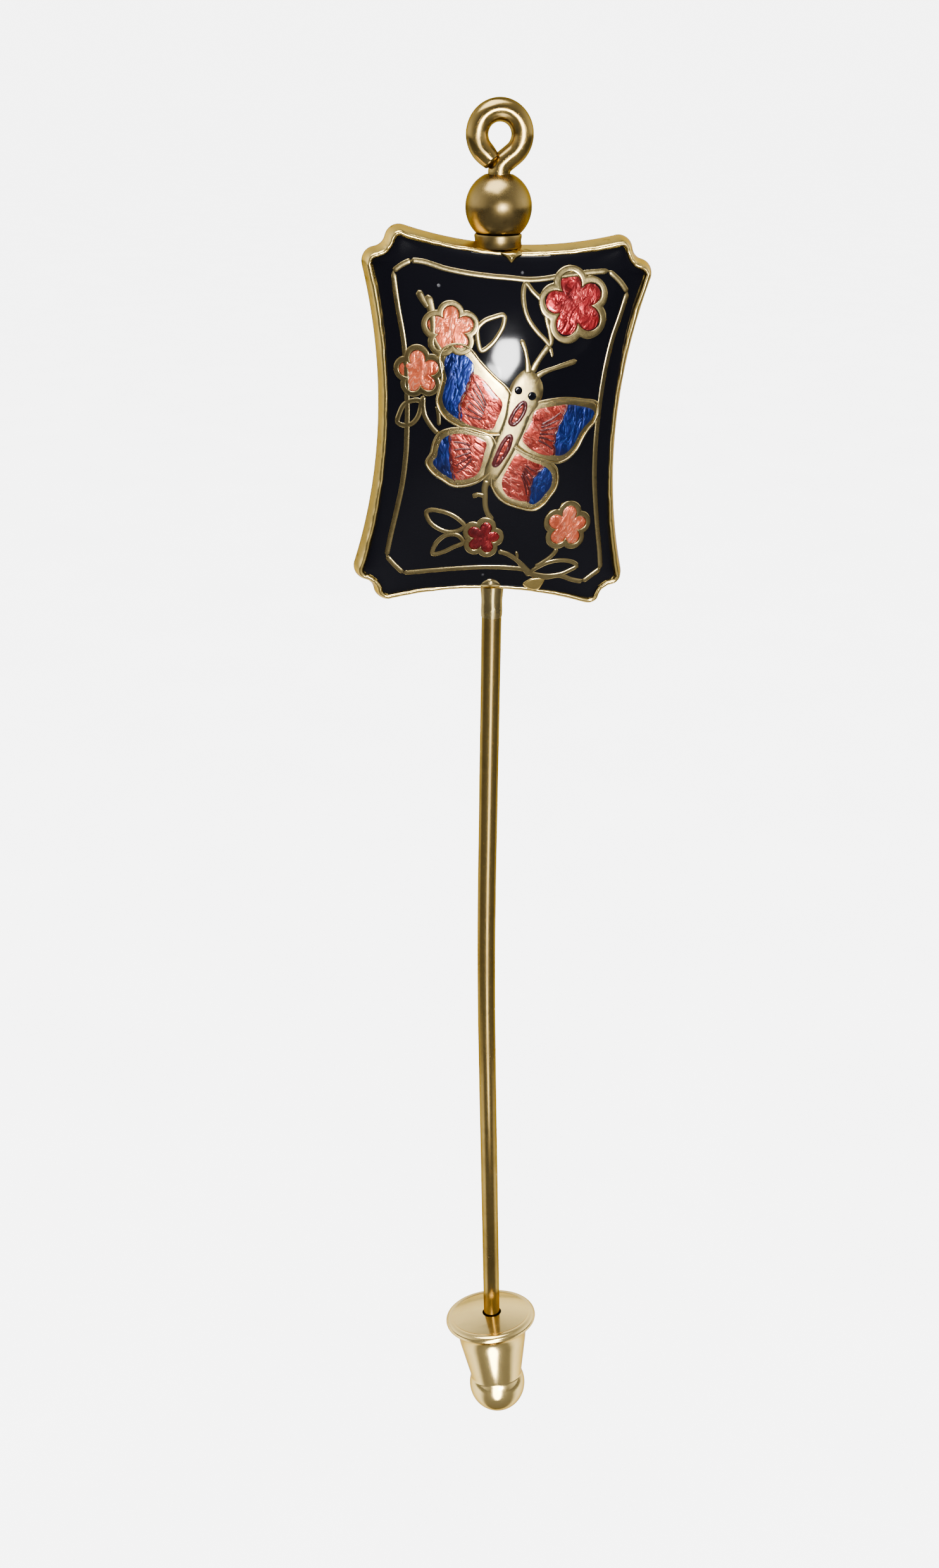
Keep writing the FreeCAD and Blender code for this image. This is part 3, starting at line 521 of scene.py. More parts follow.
def line_path(points, widths, height, side):
    """A raised line along an open curve on the face: width eased between three values, ends rounded."""
    path = smooth_path(points)
    s = np.linspace(0, 1, len(path))
    width = np.interp(s, [0, 0.5, 1], widths)
    length = np.linalg.norm(np.diff(path, axis=0), axis=1).sum()
    reach = np.minimum(s, 1 - s) * length / (0.5 * width)
    ease = np.sqrt(np.clip(1 - (1 - np.minimum(reach, 1)) ** 2, 0.02, 1))
    across, level = section(1.0, 1.0, LINE_FOOT / height)
    out = across * (width * ease)[:, None]
    flat = path[:, None, :] + side_normals(path, False)[:, None, :] * out[..., None]
    rings = on_face(flat, level * height * np.where(level > 0, ease[:, None], 1.0))
    return on_plaque(side, rings, rings[0].mean(0), rings[-1].mean(0))


def petal_loop(x, z, reach, depth, turn, steps=140):
    """A five-petalled closed curve: reach (1 - depth (1 - |cos(2.5 (a - turn))|^0.7)), a little uneven."""
    a = np.linspace(0, 2 * math.pi, steps, endpoint=False)
    lobes = np.abs(np.cos(2.5 * (a - math.radians(turn)))) ** 0.7
    uneven = 1 + 0.04 * np.sin(a + 3.1 * x) + 0.03 * np.sin(2 * a + 1.7 * z)
    r = reach * (1 - depth * (1 - lobes)) * uneven
    return np.stack([x + r * np.cos(a), z + r * np.sin(a)], 1)


# a flower ring's section: share of the way from its outer to its inner curve, and share of its height
BAND_SHARE = np.array([0.0, 0.02, 0.08, 0.2, 0.4, 0.6, 0.8, 0.92, 0.98, 1.0, 0.9, 0.1])
BAND_LEVEL = np.array([0.0, 0.55, 0.85, 1.0, 1.0, 1.0, 1.0, 0.85, 0.55, 0.0, 0.0, 0.0])


def band_on_face(outer, inner, height, side):
    """A raised band between two curves, point by point, its section shared out across it."""
    level = np.where(BAND_LEVEL > 0, BAND_LEVEL * height, LINE_FOOT)
    flat = outer[:, None, :] + (inner - outer)[:, None, :] * BAND_SHARE[:, None]
    return on_plaque(side, on_face(flat, level))


# ---- sizes and colours a user would change ---------------------------------------------------------------
def length(name, text, millimetres):
    """A length property with a default in millimetres."""
    return FloatProperty(name=name, description=text, default=millimetres * MM, min=0.0, unit="LENGTH",
                         precision=5)


def colour(name, text, value):
    """A linear colour property."""
    return FloatVectorProperty(name=name, description=text, default=value, subtype="COLOR", size=3, min=0,
                               max=1)


class StickPinSizes(bpy.types.PropertyGroup):
    """Sizes of the visible pieces."""

    wire: length("Wire diameter", "Diameter of the brass wire", 1.0)
    frame_line: length("Frame line width", "Width of the struck line round the picture", 0.24)
    leaf_line: length("Leaf line width", "Width of the lines round leaves", 0.22)
    wing_line: length("Wing line width", "Width of the raised edge round each wing", 0.12)
    line_height: length("Line height", "How far the struck lines stand above the black enamel", 0.045)
    cell_height: length("Cell height", "How far the coloured enamels stand above the black", 0.050)
    floor_drop: length("Floor below the pin", "Gap under the clutch's foot, enough for it to slide off", 12.8)


class StickPinColours(bpy.types.PropertyGroup):
    """Colours of the metals and enamels."""

    wire_brass: colour("Wire brass", "Drawn brass of the wire and eye", (0.30, 0.205, 0.062))
    bead_brass: colour("Bead brass", "Spun brass of the ball", (0.25, 0.175, 0.062))
    gilt: colour("Gilt", "Gilding of the struck plaque's rim", (0.78, 0.56, 0.17))
    line_gilt: colour("Line gilt", "Gilding of the struck lines", (0.40, 0.31, 0.13))
    clutch: colour("Clutch gilt", "Polished gilding of the clutch", (0.87, 0.64, 0.23))
    solder: colour("Solder", "Gilded solder", (0.38, 0.29, 0.12))
    tarnish: colour("Tarnish", "Darkened metal", (0.085, 0.055, 0.020))
    black: colour("Black enamel", "Opaque black enamel", (0.0025, 0.0025, 0.004))
    rose: colour("Rose enamel", "Transparent rose enamel", (0.36, 0.036, 0.022))
    blue: colour("Blue enamel", "Transparent cobalt enamel", (0.003, 0.012, 0.12))
    crimson: colour("Crimson enamel", "Transparent crimson enamel", (0.24, 0.004, 0.007))
    peach: colour("Peach enamel", "Translucent salmon enamel", (0.72, 0.125, 0.045))
    vein: colour("Vein enamel", "Dark red of the wings' veins", (0.07, 0.003, 0.003))
    floor: colour("Floor", "Plain pale floor", (0.35, 0.35, 0.35))


# ---- material parts --------------------------------------------------------------------------------------
def fill(tree, node, **inputs):
    """Sets a node's inputs by name, an underscore for a space: a socket is linked, a value is set."""
    for key, value in inputs.items():
        feed(tree, node.inputs[key.replace("_", " ")], value)


def feed(tree, socket, value):
    """Links a socket, or sets a plain value on it."""
    if isinstance(value, bpy.types.NodeSocket):
        tree.links.new(value, socket)
    else:
        socket.default_value = value


def add_node(tree, kind, settings=None, **inputs):
    """A node of a kind, its settings applied and its inputs filled."""
    made = tree.nodes.new("ShaderNode" + kind)
    for key, value in (settings or {}).items():
        setattr(made, key, value)
    fill(tree, made, **inputs)
    return made


def maths(tree, operation, *values, vector=False):
    """A Math or Vector Math node on values or sockets, and its output."""
    made = add_node(tree, "VectorMath" if vector else "Math", {"operation": operation})
    for socket, value in zip(made.inputs, values):
        feed(tree, socket, value)
    return made.outputs["Value" if operation == "LENGTH" else 0]


def times(tree, a, b):
    """The product of two values or sockets."""
    return maths(tree, "MULTIPLY", a, b)


def blend_colours(tree, mask, a, b):
    """Colour a where the mask is 0 and b where it is 1."""
    return add_node(tree, "Mix", {"data_type": "RGBA"}, Factor=mask, A=a, B=b).outputs["Result"]


def span(tree, value, low, high, to_low=0.0, to_high=1.0):
    """The value's range mapped to another, held at its ends."""
    return add_node(tree, "MapRange", {"clamp": True}, Value=value, From_Min=low, From_Max=high,
                    To_Min=to_low, To_Max=to_high).outputs["Result"]


def noise(tree, place, scale, detail, **more):
    """A noise pattern's value."""
    return add_node(tree, "TexNoise", Vector=place, Scale=scale, Detail=detail, **more).outputs["Fac"]


def object_place(tree):
    """Where a point of the surface is, in the pin's own frame."""
    return add_node(tree, "TexCoord").outputs["Object"]


def new_group(name, inputs, outputs):
    """An empty shader node group with named sockets, and its input and output nodes.

    An input is a colour where its default has four parts, and a number otherwise. So is an output named
    Colour.
    """
    group = bpy.data.node_groups.new(name, "ShaderNodeTree")
    for label, default in inputs.items():
        kind = "NodeSocketColor" if isinstance(default, tuple) else "NodeSocketFloat"
        socket = group.interface.new_socket(label, in_out="INPUT", socket_type=kind)
        socket.default_value = default
    for label in outputs:
        kind = "NodeSocketColor" if label == "Colour" else "NodeSocketFloat"
        group.interface.new_socket(label, in_out="OUTPUT", socket_type=kind)
    return group, group.nodes.new("NodeGroupInput").outputs, group.nodes.new("NodeGroupOutput")


def worn_metal_group():
    """Metal whose polish and colour change over it: soft dull patches, dark specks and handling marks."""
    inputs = {"Colour": (0.8, 0.6, 0.3, 1), "Tarnish": (0.1, 0.07, 0.03, 1), "Patch scale": 300.0,
              "Patches": 0.3, "Specks": 0.2, "Polished": 0.2, "Dull": 0.4, "Mark scale": 4000.0}
    group, given, end = new_group("worn metal", inputs, ("Colour", "Roughness", "Height"))
    place = object_place(group)
    patches = noise(group, place, given["Patch scale"], 5.0, Roughness=0.6)
    fine = noise(group, place, given["Mark scale"], 3.0)
    specks = noise(group, place, times(group, given["Patch scale"], 5.0), 2.0, Roughness=0.4)
    patch_mask = times(group, span(group, patches, 0.45, 0.72), given["Patches"])
    speck_mask = times(group, span(group, specks, 0.66, 0.74), given["Specks"])
    shaded = blend_colours(group, patch_mask, given["Colour"], given["Tarnish"])
    dulling = maths(group, "ADD", patch_mask, times(group, fine, 0.5))
    fill(group, end, Colour=blend_colours(group, speck_mask, shaded, given["Tarnish"]),
         Roughness=span(group, dulling, 0.1, 0.8, given["Polished"], given["Dull"]),
         Height=maths(group, "ADD", times(group, fine, 0.4), patches))
    return group


def scored_ground_group():
    """Scored metal seen through transparent enamel: wavy cuts with a painted glint, a lighter colour painted
    along their ridges, and deep pools of enamel.
    """
    inputs = {"Enamel": (0.6, 0.1, 0.1, 1), "Flash": (1, 0.8, 0.7, 1), "Deep": (0.1, 0.01, 0.01, 1),
              "Cut scale": 3600.0, "Flashes": 0.5, "Turn": 0.4}
    group, given, end = new_group("scored ground", inputs, ("Colour", "Roughness", "Height"))
    place = object_place(group)
    turned = add_node(group, "VectorRotate", {"rotation_type": "Y_AXIS"}, Vector=place, Angle=given["Turn"])
    drawn = maths(group, "MULTIPLY", turned.outputs["Vector"], (1.0, 1.0, 0.42), vector=True)
    cuts = noise(group, drawn, given["Cut scale"], 2.5, Roughness=0.5, Distortion=1.1)
    pools = noise(group, place, times(group, given["Cut scale"], 0.28), 2.0)
    ridge = maths(group, "ABSOLUTE", maths(group, "SUBTRACT", cuts, 0.5))
    # painted highlight: a lighter colour painted along the cuts' ridges, strongest where the pools are
    # shallow
    painted_glint = span(group, ridge, 0.035, 0.0, 0.0, given["Flashes"])
    lit = times(group, painted_glint, span(group, pools, 0.35, 0.6, 0.15, 1.0))
    deep = span(group, pools, 0.5, 0.3, 0.0, 0.75)
    body = blend_colours(group, deep, given["Enamel"], given["Deep"])
    fill(group, end, Colour=blend_colours(group, lit, body, given["Flash"]),
         Roughness=span(group, cuts, 0.3, 0.7, 0.18, 0.42), Height=cuts)
    return group


def dust_group():
    """Tiny specks and pits spread thinly over a glossy surface, as a mask, and a slow roll with the pits."""
    group, given, end = new_group("dust and pits", {"Scale": 1500.0, "Amount": 0.5}, ("Mask", "Height"))
    place = object_place(group)
    cells = add_node(group, "TexVoronoi", Vector=place, Scale=given["Scale"]).outputs
    rolling = noise(group, place, 520.0, 1.0)
    chosen = maths(group, "GREATER_THAN", cells["Color"], 0.86)
    dots = times(group, span(group, cells["Distance"], 0.16, 0.08), chosen)
    mask = times(group, dots, given["Amount"])
    fill(group, end, Mask=mask, Height=maths(group, "SUBTRACT", rolling, times(group, mask, 0.3)))
    return group


def place_group(tree, name, maker, **values):
    """The outputs of a shared group placed with its own values. The group is made when first asked for."""
    group = bpy.data.node_groups.get(name) or maker()
    return add_node(tree, "Group", {"node_tree": group}, **values).outputs


def new_material(name):
    """An empty material, its node tree and its Principled shader."""
    made = bpy.data.materials.new(name)
    made.use_nodes = True
    return made, made.node_tree, made.node_tree.nodes["Principled BSDF"]


def relief(tree, height, strength, distance):
    """A height as a normal, through a Bump node, its distance in millimetres."""
    return add_node(tree, "Bump", Strength=strength, Distance=distance * MM, Height=height).outputs["Normal"]


def user_colour(key):
    """A colour property as red, green, blue and 1."""
    return (*getattr(bpy.context.scene.stick_pin_colours, key), 1)


EDGE_TINT = (0.50, 0.38, 0.22, 1)
WEAR_DEPTH = 0.02
# each metal: its colour, its roughness polished and dull, its share of patches and of specks, the scale of
# the patches and of the marks, the strength of its relief, and how far its highlights spread along the pin
METALS = {
    "drawn brass wire": ("wire_brass", 0.18, 0.30, 0.45, 0.16, 210.0, 5200.0, 0.12, 0.6),
    "spun brass bead": ("bead_brass", 0.24, 0.38, 0.45, 0.35, 330.0, 5200.0, 0.3, 0.3),
    "struck gilding": ("gilt", 0.16, 0.32, 0.35, 0.45, 420.0, 6500.0, 0.45, 0.0),
    "line gilding": ("line_gilt", 0.16, 0.32, 0.75, 0.30, 420.0, 5200.0, 0.4, 0.0),
    "clutch gilding": ("clutch", 0.14, 0.24, 0.20, 0.12, 240.0, 5200.0, 0.15, 0.5),
    "gilded solder": ("solder", 0.18, 0.36, 0.45, 0.15, 500.0, 4200.0, 0.6, 0.0),
}


def metal(name):
    """Brass or gilding with the shared wear. Drawn or spun metal spreads its highlights up and down."""
    if name in bpy.data.materials:
        return bpy.data.materials[name]
    key, polished, dull, patches, specks, patch_scale, mark_scale, strength, drawn = METALS[name]
    made, tree, shader = new_material(name)
    wear = place_group(tree, "worn metal", worn_metal_group, Colour=user_colour(key),
                       Tarnish=user_colour("tarnish"), Patch_scale=patch_scale, Patches=patches,
                       Specks=specks, Polished=polished, Dull=dull, Mark_scale=mark_scale)
    fill(tree, shader, Metallic=1.0, Specular_Tint=EDGE_TINT, Base_Color=wear["Colour"],
         Roughness=wear["Roughness"], Normal=relief(tree, wear["Height"], strength, WEAR_DEPTH))
    if drawn:
        normal = add_node(tree, "NewGeometry").outputs["Normal"]
        round_way = maths(tree, "CROSS_PRODUCT", normal, UP, vector=True)
        fill(tree, shader, Anisotropic=drawn, Tangent=round_way)
    return made


CUT_DEPTH = 0.09
# each enamel: its colour, its painted glint colour and its deep colour, how metallic it is, the scale of
# the cuts, the strength of their painted glints and their turn in radians
ENAMELS = {
    "rose": ("rose", (0.95, 0.30, 0.22, 1), (0.12, 0.004, 0.004, 1), 0.75, 3400.0, 0.62, 0.9),
    "blue": ("blue", (0.035, 0.11, 0.48, 1), (0.001, 0.003, 0.030, 1), 0.75, 3000.0, 0.42, -0.15),
    "crimson": ("crimson", (0.80, 0.11, 0.10, 1), (0.07, 0.001, 0.002, 1), 0.70, 3200.0, 0.45, -0.5),
    "peach": ("peach", (1.0, 0.52, 0.35, 1), (0.36, 0.045, 0.015, 1), 0.60, 3300.0, 0.60, -0.35),
    "vein": ("vein", (0.16, 0.01, 0.01, 1), (0.03, 0.001, 0.001, 1), 0.30, 3000.0, 0.20, 0.0),
}


def enamel(name):
    """Transparent enamel: scored metal with painted glints under a smooth clear coat."""
    if name + " enamel" in bpy.data.materials:
        return bpy.data.materials[name + " enamel"]
    key, painted_glint, deep, metallic, cut_scale, painted_glint_share, turn = ENAMELS[name]
    made, tree, shader = new_material(name + " enamel")
    ground = place_group(tree, "scored ground", scored_ground_group, Enamel=user_colour(key), Flash=painted_glint,
                         Deep=deep, Cut_scale=cut_scale, Flashes=painted_glint_share, Turn=turn)
    fill(tree, shader, Metallic=metallic, Coat_Weight=1.0, Coat_Roughness=0.04, Coat_IOR=1.38,
         Base_Color=ground["Colour"], Roughness=ground["Roughness"],
         Normal=relief(tree, ground["Height"], 0.9, CUT_DEPTH))
    return made


DUST = (0.10, 0.10, 0.11, 1)


def black_enamel():
    """Fused opaque black with a slow orange-peel roll and a few pits."""
    if "black enamel" in bpy.data.materials:
        return bpy.data.materials["black enamel"]
    made, tree, shader = new_material("black enamel")
    dust = place_group(tree, "dust and pits", dust_group, Scale=1800.0, Amount=0.5)
    fill(tree, shader, IOR=1.34, Base_Color=blend_colours(tree, dust["Mask"], user_colour("black"), DUST),
         Roughness=span(tree, dust["Mask"], 0, 1, 0.07, 0.5),
         Normal=relief(tree, dust["Height"], 0.5, 0.05))
    return made


# ---- wire ------------------------------------------------------------------------------------------------
WIRE_MARGIN = 0.02
EYE_FORWARD = 0.26              # how far the eye's cut end is brought forward
EYE_PINCH = 0.16
POINT_R_SHARE = 0.10
END_DOME = 0.12


def wire_radius():
    """The wire's radius in millimetres."""
    return bpy.context.scene.stick_pin_sizes.wire / MM / 2


def arc_points(centre, start, turn, steps):
    """Points of an arc in the XZ plane about a centre, anticlockwise seen from the front."""
    swing = np.linspace(0, turn, steps)
    out = np.array(start) - np.array(centre)
    x = out[0] * np.cos(swing) - out[1] * np.sin(swing)
    z = out[0] * np.sin(swing) + out[1] * np.cos(swing)
    return np.stack([centre[0] + x, centre[1] + z], 1)


def lower_route():
    """Centre line from the point up the run, round the bend and up the straight, in x and z."""
    bend_r = BEND_LENGTH / BEND_TURN
    bend = arc_points((bend_r, -STRAIGHT_RUN), (0.0, -STRAIGHT_RUN), BEND_TURN, 40)[1:]
    way = RUN_WAY[[0, 2]]
    tip = bend[-1] + way * ((STEM_FOOT - bend[-1][1]) / way[1])
    share = np.concatenate([np.linspace(0, 1, 26), [1.4, 4, 8, 12, 16]])
    low = tip - way * (share * TAPER)[:, None]
    low = low[low[:, 1] < bend[-1][1] - 0.2]
    return np.vstack([low, bend[::-1]]), tip


def head_route():
    """Centre line from the neck's foot up: a neck arc and a tangent run, then the eye and its tail."""
    neck_z = EYE_TOP - wire_radius() - EYE_BEND - EYE_RISE
    reach = math.hypot(NECK_BEND, EYE_RISE)
    slope = math.atan2(-NECK_BEND, EYE_RISE) + math.asin((NECK_BEND + EYE_BEND) / reach)
    run = math.sqrt(reach ** 2 - (NECK_BEND + EYE_BEND) ** 2)
    neck = arc_points((NECK_BEND, neck_z), (0.0, neck_z), -slope, 14)
    meet = neck[-1] + run * np.array([math.sin(slope), math.cos(slope)])
    between = neck[-1] + (meet - neck[-1]) * np.linspace(0, 1, 6)[1:-1, None]
    eye = arc_points((0.0, neck_z + EYE_RISE), meet, math.radians(270) + slope - EYE_END, 60)
    tail_way = np.array([math.cos(EYE_END), -math.sin(EYE_END)])
    eye = np.vstack([eye, eye[-1] + tail_way * EYE_TAIL * np.linspace(0, 1, 9)[1:, None]])
    return np.vstack([neck, between]), eye


def wire_surface():
    """A round section carried along the route, the eye's cut end brought forward and rounded over."""
    lower, tip = lower_route()
    neck, eye = head_route()
    middle = np.stack([np.zeros(24), np.linspace(-STRAIGHT_RUN, neck[0][1], 25)[:-1]], 1)
    flat = np.vstack([lower, middle, neck, eye])
    taper = np.linalg.norm(flat - tip, axis=1) / TAPER
    radius = wire_radius() * np.clip(POINT_R_SHARE + (1 - POINT_R_SHARE) * taper ** 0.85, 0, 1)
    forward = np.zeros(len(flat))
    last = np.linspace(0, 1, len(eye))
    forward[-len(eye):] = -EYE_FORWARD * np.clip((last - 0.55) / 0.45, 0, 1) ** 2
    radius[-len(eye):] *= 1 - EYE_PINCH * np.clip((last - 0.86) / 0.14, 0, 1) ** 2
    path = np.stack([flat[:, 0], forward, flat[:, 1]], 1)
    along = unit(path[-1] - path[-2])
    dome_turn = np.arange(1, 6) / 5 * math.pi / 2
    path = np.vstack([path, path[-1] + along * (END_DOME * np.sin(dome_turn))[:, None]])
    radius = np.concatenate([radius, radius[-1] * (1 - 0.55 * (1 - np.cos(dome_turn)))])
    tangent = unit(np.gradient(path, axis=0))
    side = unit(np.cross(tangent, [0.0, 1.0, 0.0]))
    other = np.cross(side, tangent)
    turn = np.linspace(0, 2 * math.pi, 40, endpoint=False)[None, :, None]
    ring = np.cos(turn) * side[:, None, :] + np.sin(turn) * other[:, None, :]
    rings = path[:, None, :] + radius[:, None, None] * ring
    return ring_surface(rings, path[0] - tangent[0] * 0.03, path[-1] + along * 0.02)


class STICKPIN_OT_wire(bpy.types.Operator):
    """Build the brass wire with its eye and its sharpened point"""

    bl_idname = "stickpin.wire"
    bl_label = "Wire"

    def execute(self, context):
        settle("wire_and_eye", [wire_surface()], metal("drawn brass wire"), "pin", "wire_brass", "pin_stem",
               "eye_wire", sharp=60)
        return {"FINISHED"}


# ---- ball, cup and solder --------------------------------------------------------------------------------
BALL_WALL = 0.30
BALL_GAP = 0.08                 # round the wire
CUP_GAP = 0.05                  # under the ball
COLLAR_FLARE = 0.07
BLOB_RISE = 0.14
BLOB_FOOT = -0.25


def ball_profile(bore):
    """A hollow ball's section: its outer arc, rounded into the bore, and an inner arc."""
    rise = math.acos((bore + 0.05) / BALL_R)
    outer = np.linspace(-rise, rise, 44)
    inner = np.linspace(rise - 0.06, -rise + 0.06, 24)
    outside = BALL_R * np.stack([np.cos(outer), np.sin(outer)], 1)
    inside = (BALL_R - BALL_WALL) * np.stack([np.cos(inner), np.sin(inner)], 1)
    inside[:, 0] = np.maximum(inside[:, 0], bore)
    lip = np.array([[bore, outside[-1, 1] - 0.06]])
    return np.vstack([outside, lip, inside, lip * [1, -1]])


def cup_profile(bore):
    """The cup's section: a wall a little hollowed, and a seat on a circle round the ball's centre."""
    out, foot, top = (CUP_HIGH[0] - CUP_LOW[0]) / 2, CUP_LOW[2], CUP_HIGH[2]
    hollow = np.linspace(out - 0.07, bore, 12)
    seat = np.stack([hollow, BALL_CENTRE[2] - np.sqrt((BALL_R + CUP_GAP) ** 2 - hollow ** 2)], 1)
    wall = np.array([[bore, foot], [out - 0.06, foot], [out, foot + 0.10], [out - 0.03, (foot + top) / 2],
                     [out, top - 0.10], [out - 0.02, top - 0.03]])
    return np.vstack([wall, seat])


def collar_profile(r):
    """The solder's section: bore + 0.02 sin(9 s) (1 - s) + flare s^2.2 at a share s of its height."""
    top = SOLDER_TOP
    s = np.linspace(0, 1, 16)
    flank = r + WIRE_MARGIN + 0.02 * np.sin(9 * s) * (1 - s) + COLLAR_FLARE * s ** 2.2
    return np.vstack([np.stack([flank, s * top], 1), [[r - WIRE_MARGIN, top], [r - WIRE_MARGIN, 0.0]]])


class STICKPIN_OT_ball(bpy.types.Operator):
    """Build the ball bead that turns on the wire"""

    bl_idname = "stickpin.ball"
    bl_label = "Ball bead"

    def execute(self, context):
        surface = turned_piece(ball_profile(wire_radius() + BALL_GAP), BALL_CENTRE, UP, 112)
        settle("ball", [surface], metal("spun brass bead"), "ball", "bead_brass", "ball_bead")
        return {"FINISHED"}


class STICKPIN_OT_joints(bpy.types.Operator):
    """Build the cup under the ball and the solder under the plaque"""

    bl_idname = "stickpin.joints"
    bl_label = "Cup and solder"

    def execute(self, context):
        r = wire_radius()
        cup = turned_piece(cup_profile(r + WIRE_MARGIN), (0, 0, 0), UP, 72)
        settle("ball_cup", [cup], metal("spun brass bead"), "pin", "bead_brass", "seat_cup", sharp=40)
        collar = turned_piece(collar_profile(r), (0, 0, 0), UP, 56)
        blob = smooth_loop(SOLDER_BLOB)
        fillets = [plate_on_face(blob, BLOB_RISE, BLOB_FOOT, side, 12, 2.2) for side in SIDES]
        settle("solder", [collar, *fillets], metal("gilded solder"), "pin", "solder", "solder_collar",
               sharp=60)
        return {"FINISHED"}


# ---- plaque bead -----------------------------------------------------------------------------------------
# the rim's and side wall's section, as offset from the enamel's outline and height above the girdle
CASE_SECTION = [(-0.30, 0.02), (0.355, 0.012), (0.385, 0.03), (0.40, 0.07), (0.375, 0.20), (0.335, 0.36),
                (0.29, 0.52), (0.25, 0.66), (0.215, 0.76), (0.19, 0.82), (0.165, 0.862), (0.125, 0.888),
                (0.08, 0.90), (0.04, 0.893), (0.005, 0.868), (-0.012, 0.83), (-0.02, 0.76), (-0.30, 0.50)]
FILED_WAVES = [(37, 0.010, 0.0), (61, 0.008, 1.0), (113, 0.006, 2.0)]   # count, depth and start of each
DROP_RISE = 0.13
PATCH_RISE = 0.05
SUNK_FOOT = -0.1
BLACK_FOOT = -0.22


def case_surface(side):
    """The rim and side wall: a closed section carried round the outline, section offset times the normal.

    The wall flares from the rim to the girdle, and small hand-filed waves run along the rim.
    """
    offset, height = np.array(CASE_SECTION).T
    around = np.linspace(0, 2 * math.pi, len(OUTLINE), endpoint=False)
    filed = sum(depth * np.sin(count * around + start) for count, depth, start in FILED_WAVES)
    waves = filed[:, None] * np.clip((height - 0.6) / 0.3, 0, 1) * (offset > -0.05)
    reach = CORNER_ROUND + offset + waves
    flat = OUTLINE[:, None, :] + OUTLINE_NORMAL[:, None, :] * reach[..., None]
    return on_plaque(side, np.stack([flat[..., 0], -(height + 0.4 * waves), flat[..., 1]], -1))


def black_surface(side):
    """The black enamel: the domed face from the centre out to the outline, with a soft lip at the edge."""
    share = np.concatenate([np.linspace(0.02, 0.9, 46), np.linspace(0.915, 1.0, 12)])
    flat = share[:, None, None] * outline(0.02)[None, :, :]
    upper = on_face(flat, -0.05 * share[:, None] ** 60)
    under = on_face(flat[::-4], BLACK_FOOT)
    middle = np.zeros(2)
    ends = on_face(middle, 0.0), on_face(middle, BLACK_FOOT)
    return on_plaque(side, np.concatenate([upper, under]), *ends)


class STICKPIN_OT_case(bpy.types.Operator):
    """Build the two struck halves' rims and walls, and the black enamel in them"""

    bl_idname = "stickpin.case"
    bl_label = "Case and black enamel"

    def execute(self, context):
        for side in SIDES:
            surfaces = [case_surface(side)]
            drop, patch = smooth_loop(DROP_AT_TOP), smooth_loop(PATCH_AT_FOOT)
            surfaces.append(plate_on_face(drop, DROP_RISE, SUNK_FOOT, side, 10, 2.5))
            surfaces.append(plate_on_face(patch, PATCH_RISE, SUNK_FOOT, side, 8, 10.0))
            settle(side + "_case", surfaces, metal("struck gilding"), "pin", "struck_gilt", side + "_shell",
                   sharp=55)
            settle(side + "_black", [black_surface(side)], black_enamel(), "pin", "black_enamel",
                   side + "_border_enamel", side + "_field_enamel", sharp=60)
        return {"FINISHED"}


LEAF_LIFT = 1.05                # height of leaves and stems, as a share of the frame line's
STEM_LIFT = 1.10


class STICKPIN_OT_lines(bpy.types.Operator):
    """Build the struck lines: the frame, the leaves and the stems"""

    bl_idname = "stickpin.lines"
    bl_label = "Frame, leaves and stems"

    def execute(self, context):
        sizes = context.scene.stick_pin_sizes
        rise = sizes.line_height / MM
        frame_width, leaf_width = sizes.frame_line / MM, sizes.leaf_line / MM
        for side in SIDES:
            runs = [line_path(run, (frame_width,) * 3, rise, side) for run in FRAME_RUNS]
            settle(side + "_frame_line", runs, metal("line gilding"), "pin", "struck_gilt")
            growth = [line_loop(smooth_loop(leaf, 7), leaf_width, rise * LEAF_LIFT, side) for leaf in LEAVES]
            growth += [line_path(points, widths, rise * STEM_LIFT, side) for points, widths in STEMS]
            settle(side + "_leaves", growth, metal("line gilding"), "pin", "struck_gilt")
        return {"FINISHED"}


# ---- flowers and butterfly -------------------------------------------------------------------------------
RING_RISE = 0.06
PETAL_DEPTH = 0.50              # how deep the cell's notches are, as a share of its reach
RING_DEPTH = 0.22
PETAL_GROWTH = 0.03             # how far the enamel runs under the ring
PETAL_FOOT = -0.02
PETAL_RISE = 0.9                # share of the other cells' height


def petals(flower, side):
    """A flower's metal ring and its enamel: petals that swell by 0.02 cos(5 a) away from the middle."""
    name, x, z, cell, ring, turn = flower
    inner = petal_loop(x, z, cell, PETAL_DEPTH, turn)
    outer = petal_loop(x, z, ring + RING_GROWTH, RING_DEPTH, turn)
    fill_loop = petal_loop(x, z, cell + PETAL_GROWTH, PETAL_DEPTH - 0.01, turn)

    def pillow(px, pz):
        swell = np.clip(np.hypot(px - x, pz - z) / cell, 0, 1)
        return 0.02 * np.cos(5 * np.arctan2(pz - z, px - x)) * swell

    rise = bpy.context.scene.stick_pin_sizes.cell_height / MM * PETAL_RISE
    petal = plate_on_face(fill_loop, rise, PETAL_FOOT, side, 16, 8.0, (x, z), pillow)
    return name, band_on_face(outer, inner, RING_RISE, side), petal


class STICKPIN_OT_flowers(bpy.types.Operator):
    """Build the five flowers, metal rings and enamel petals"""

    bl_idname = "stickpin.flowers"
    bl_label = "Flowers"

    def execute(self, context):
        for side in SIDES:
            made = [petals(flower, side) for flower in FLOWERS]
            rings = [ring for _, ring, _ in made]
            settle(side + "_flower_rings", rings, metal("line gilding"), "pin", "struck_gilt")
            for name, node in (("crimson", "_red_enamel"), ("peach", "_peach_enamel")):
                fills = [petal for kind, _, petal in made if kind == name]
                settle(side + "_" + name + "_petals", fills, enamel(name), "pin", name + "_enamel",
                       side + node, sharp=70)
        return {"FINISHED"}


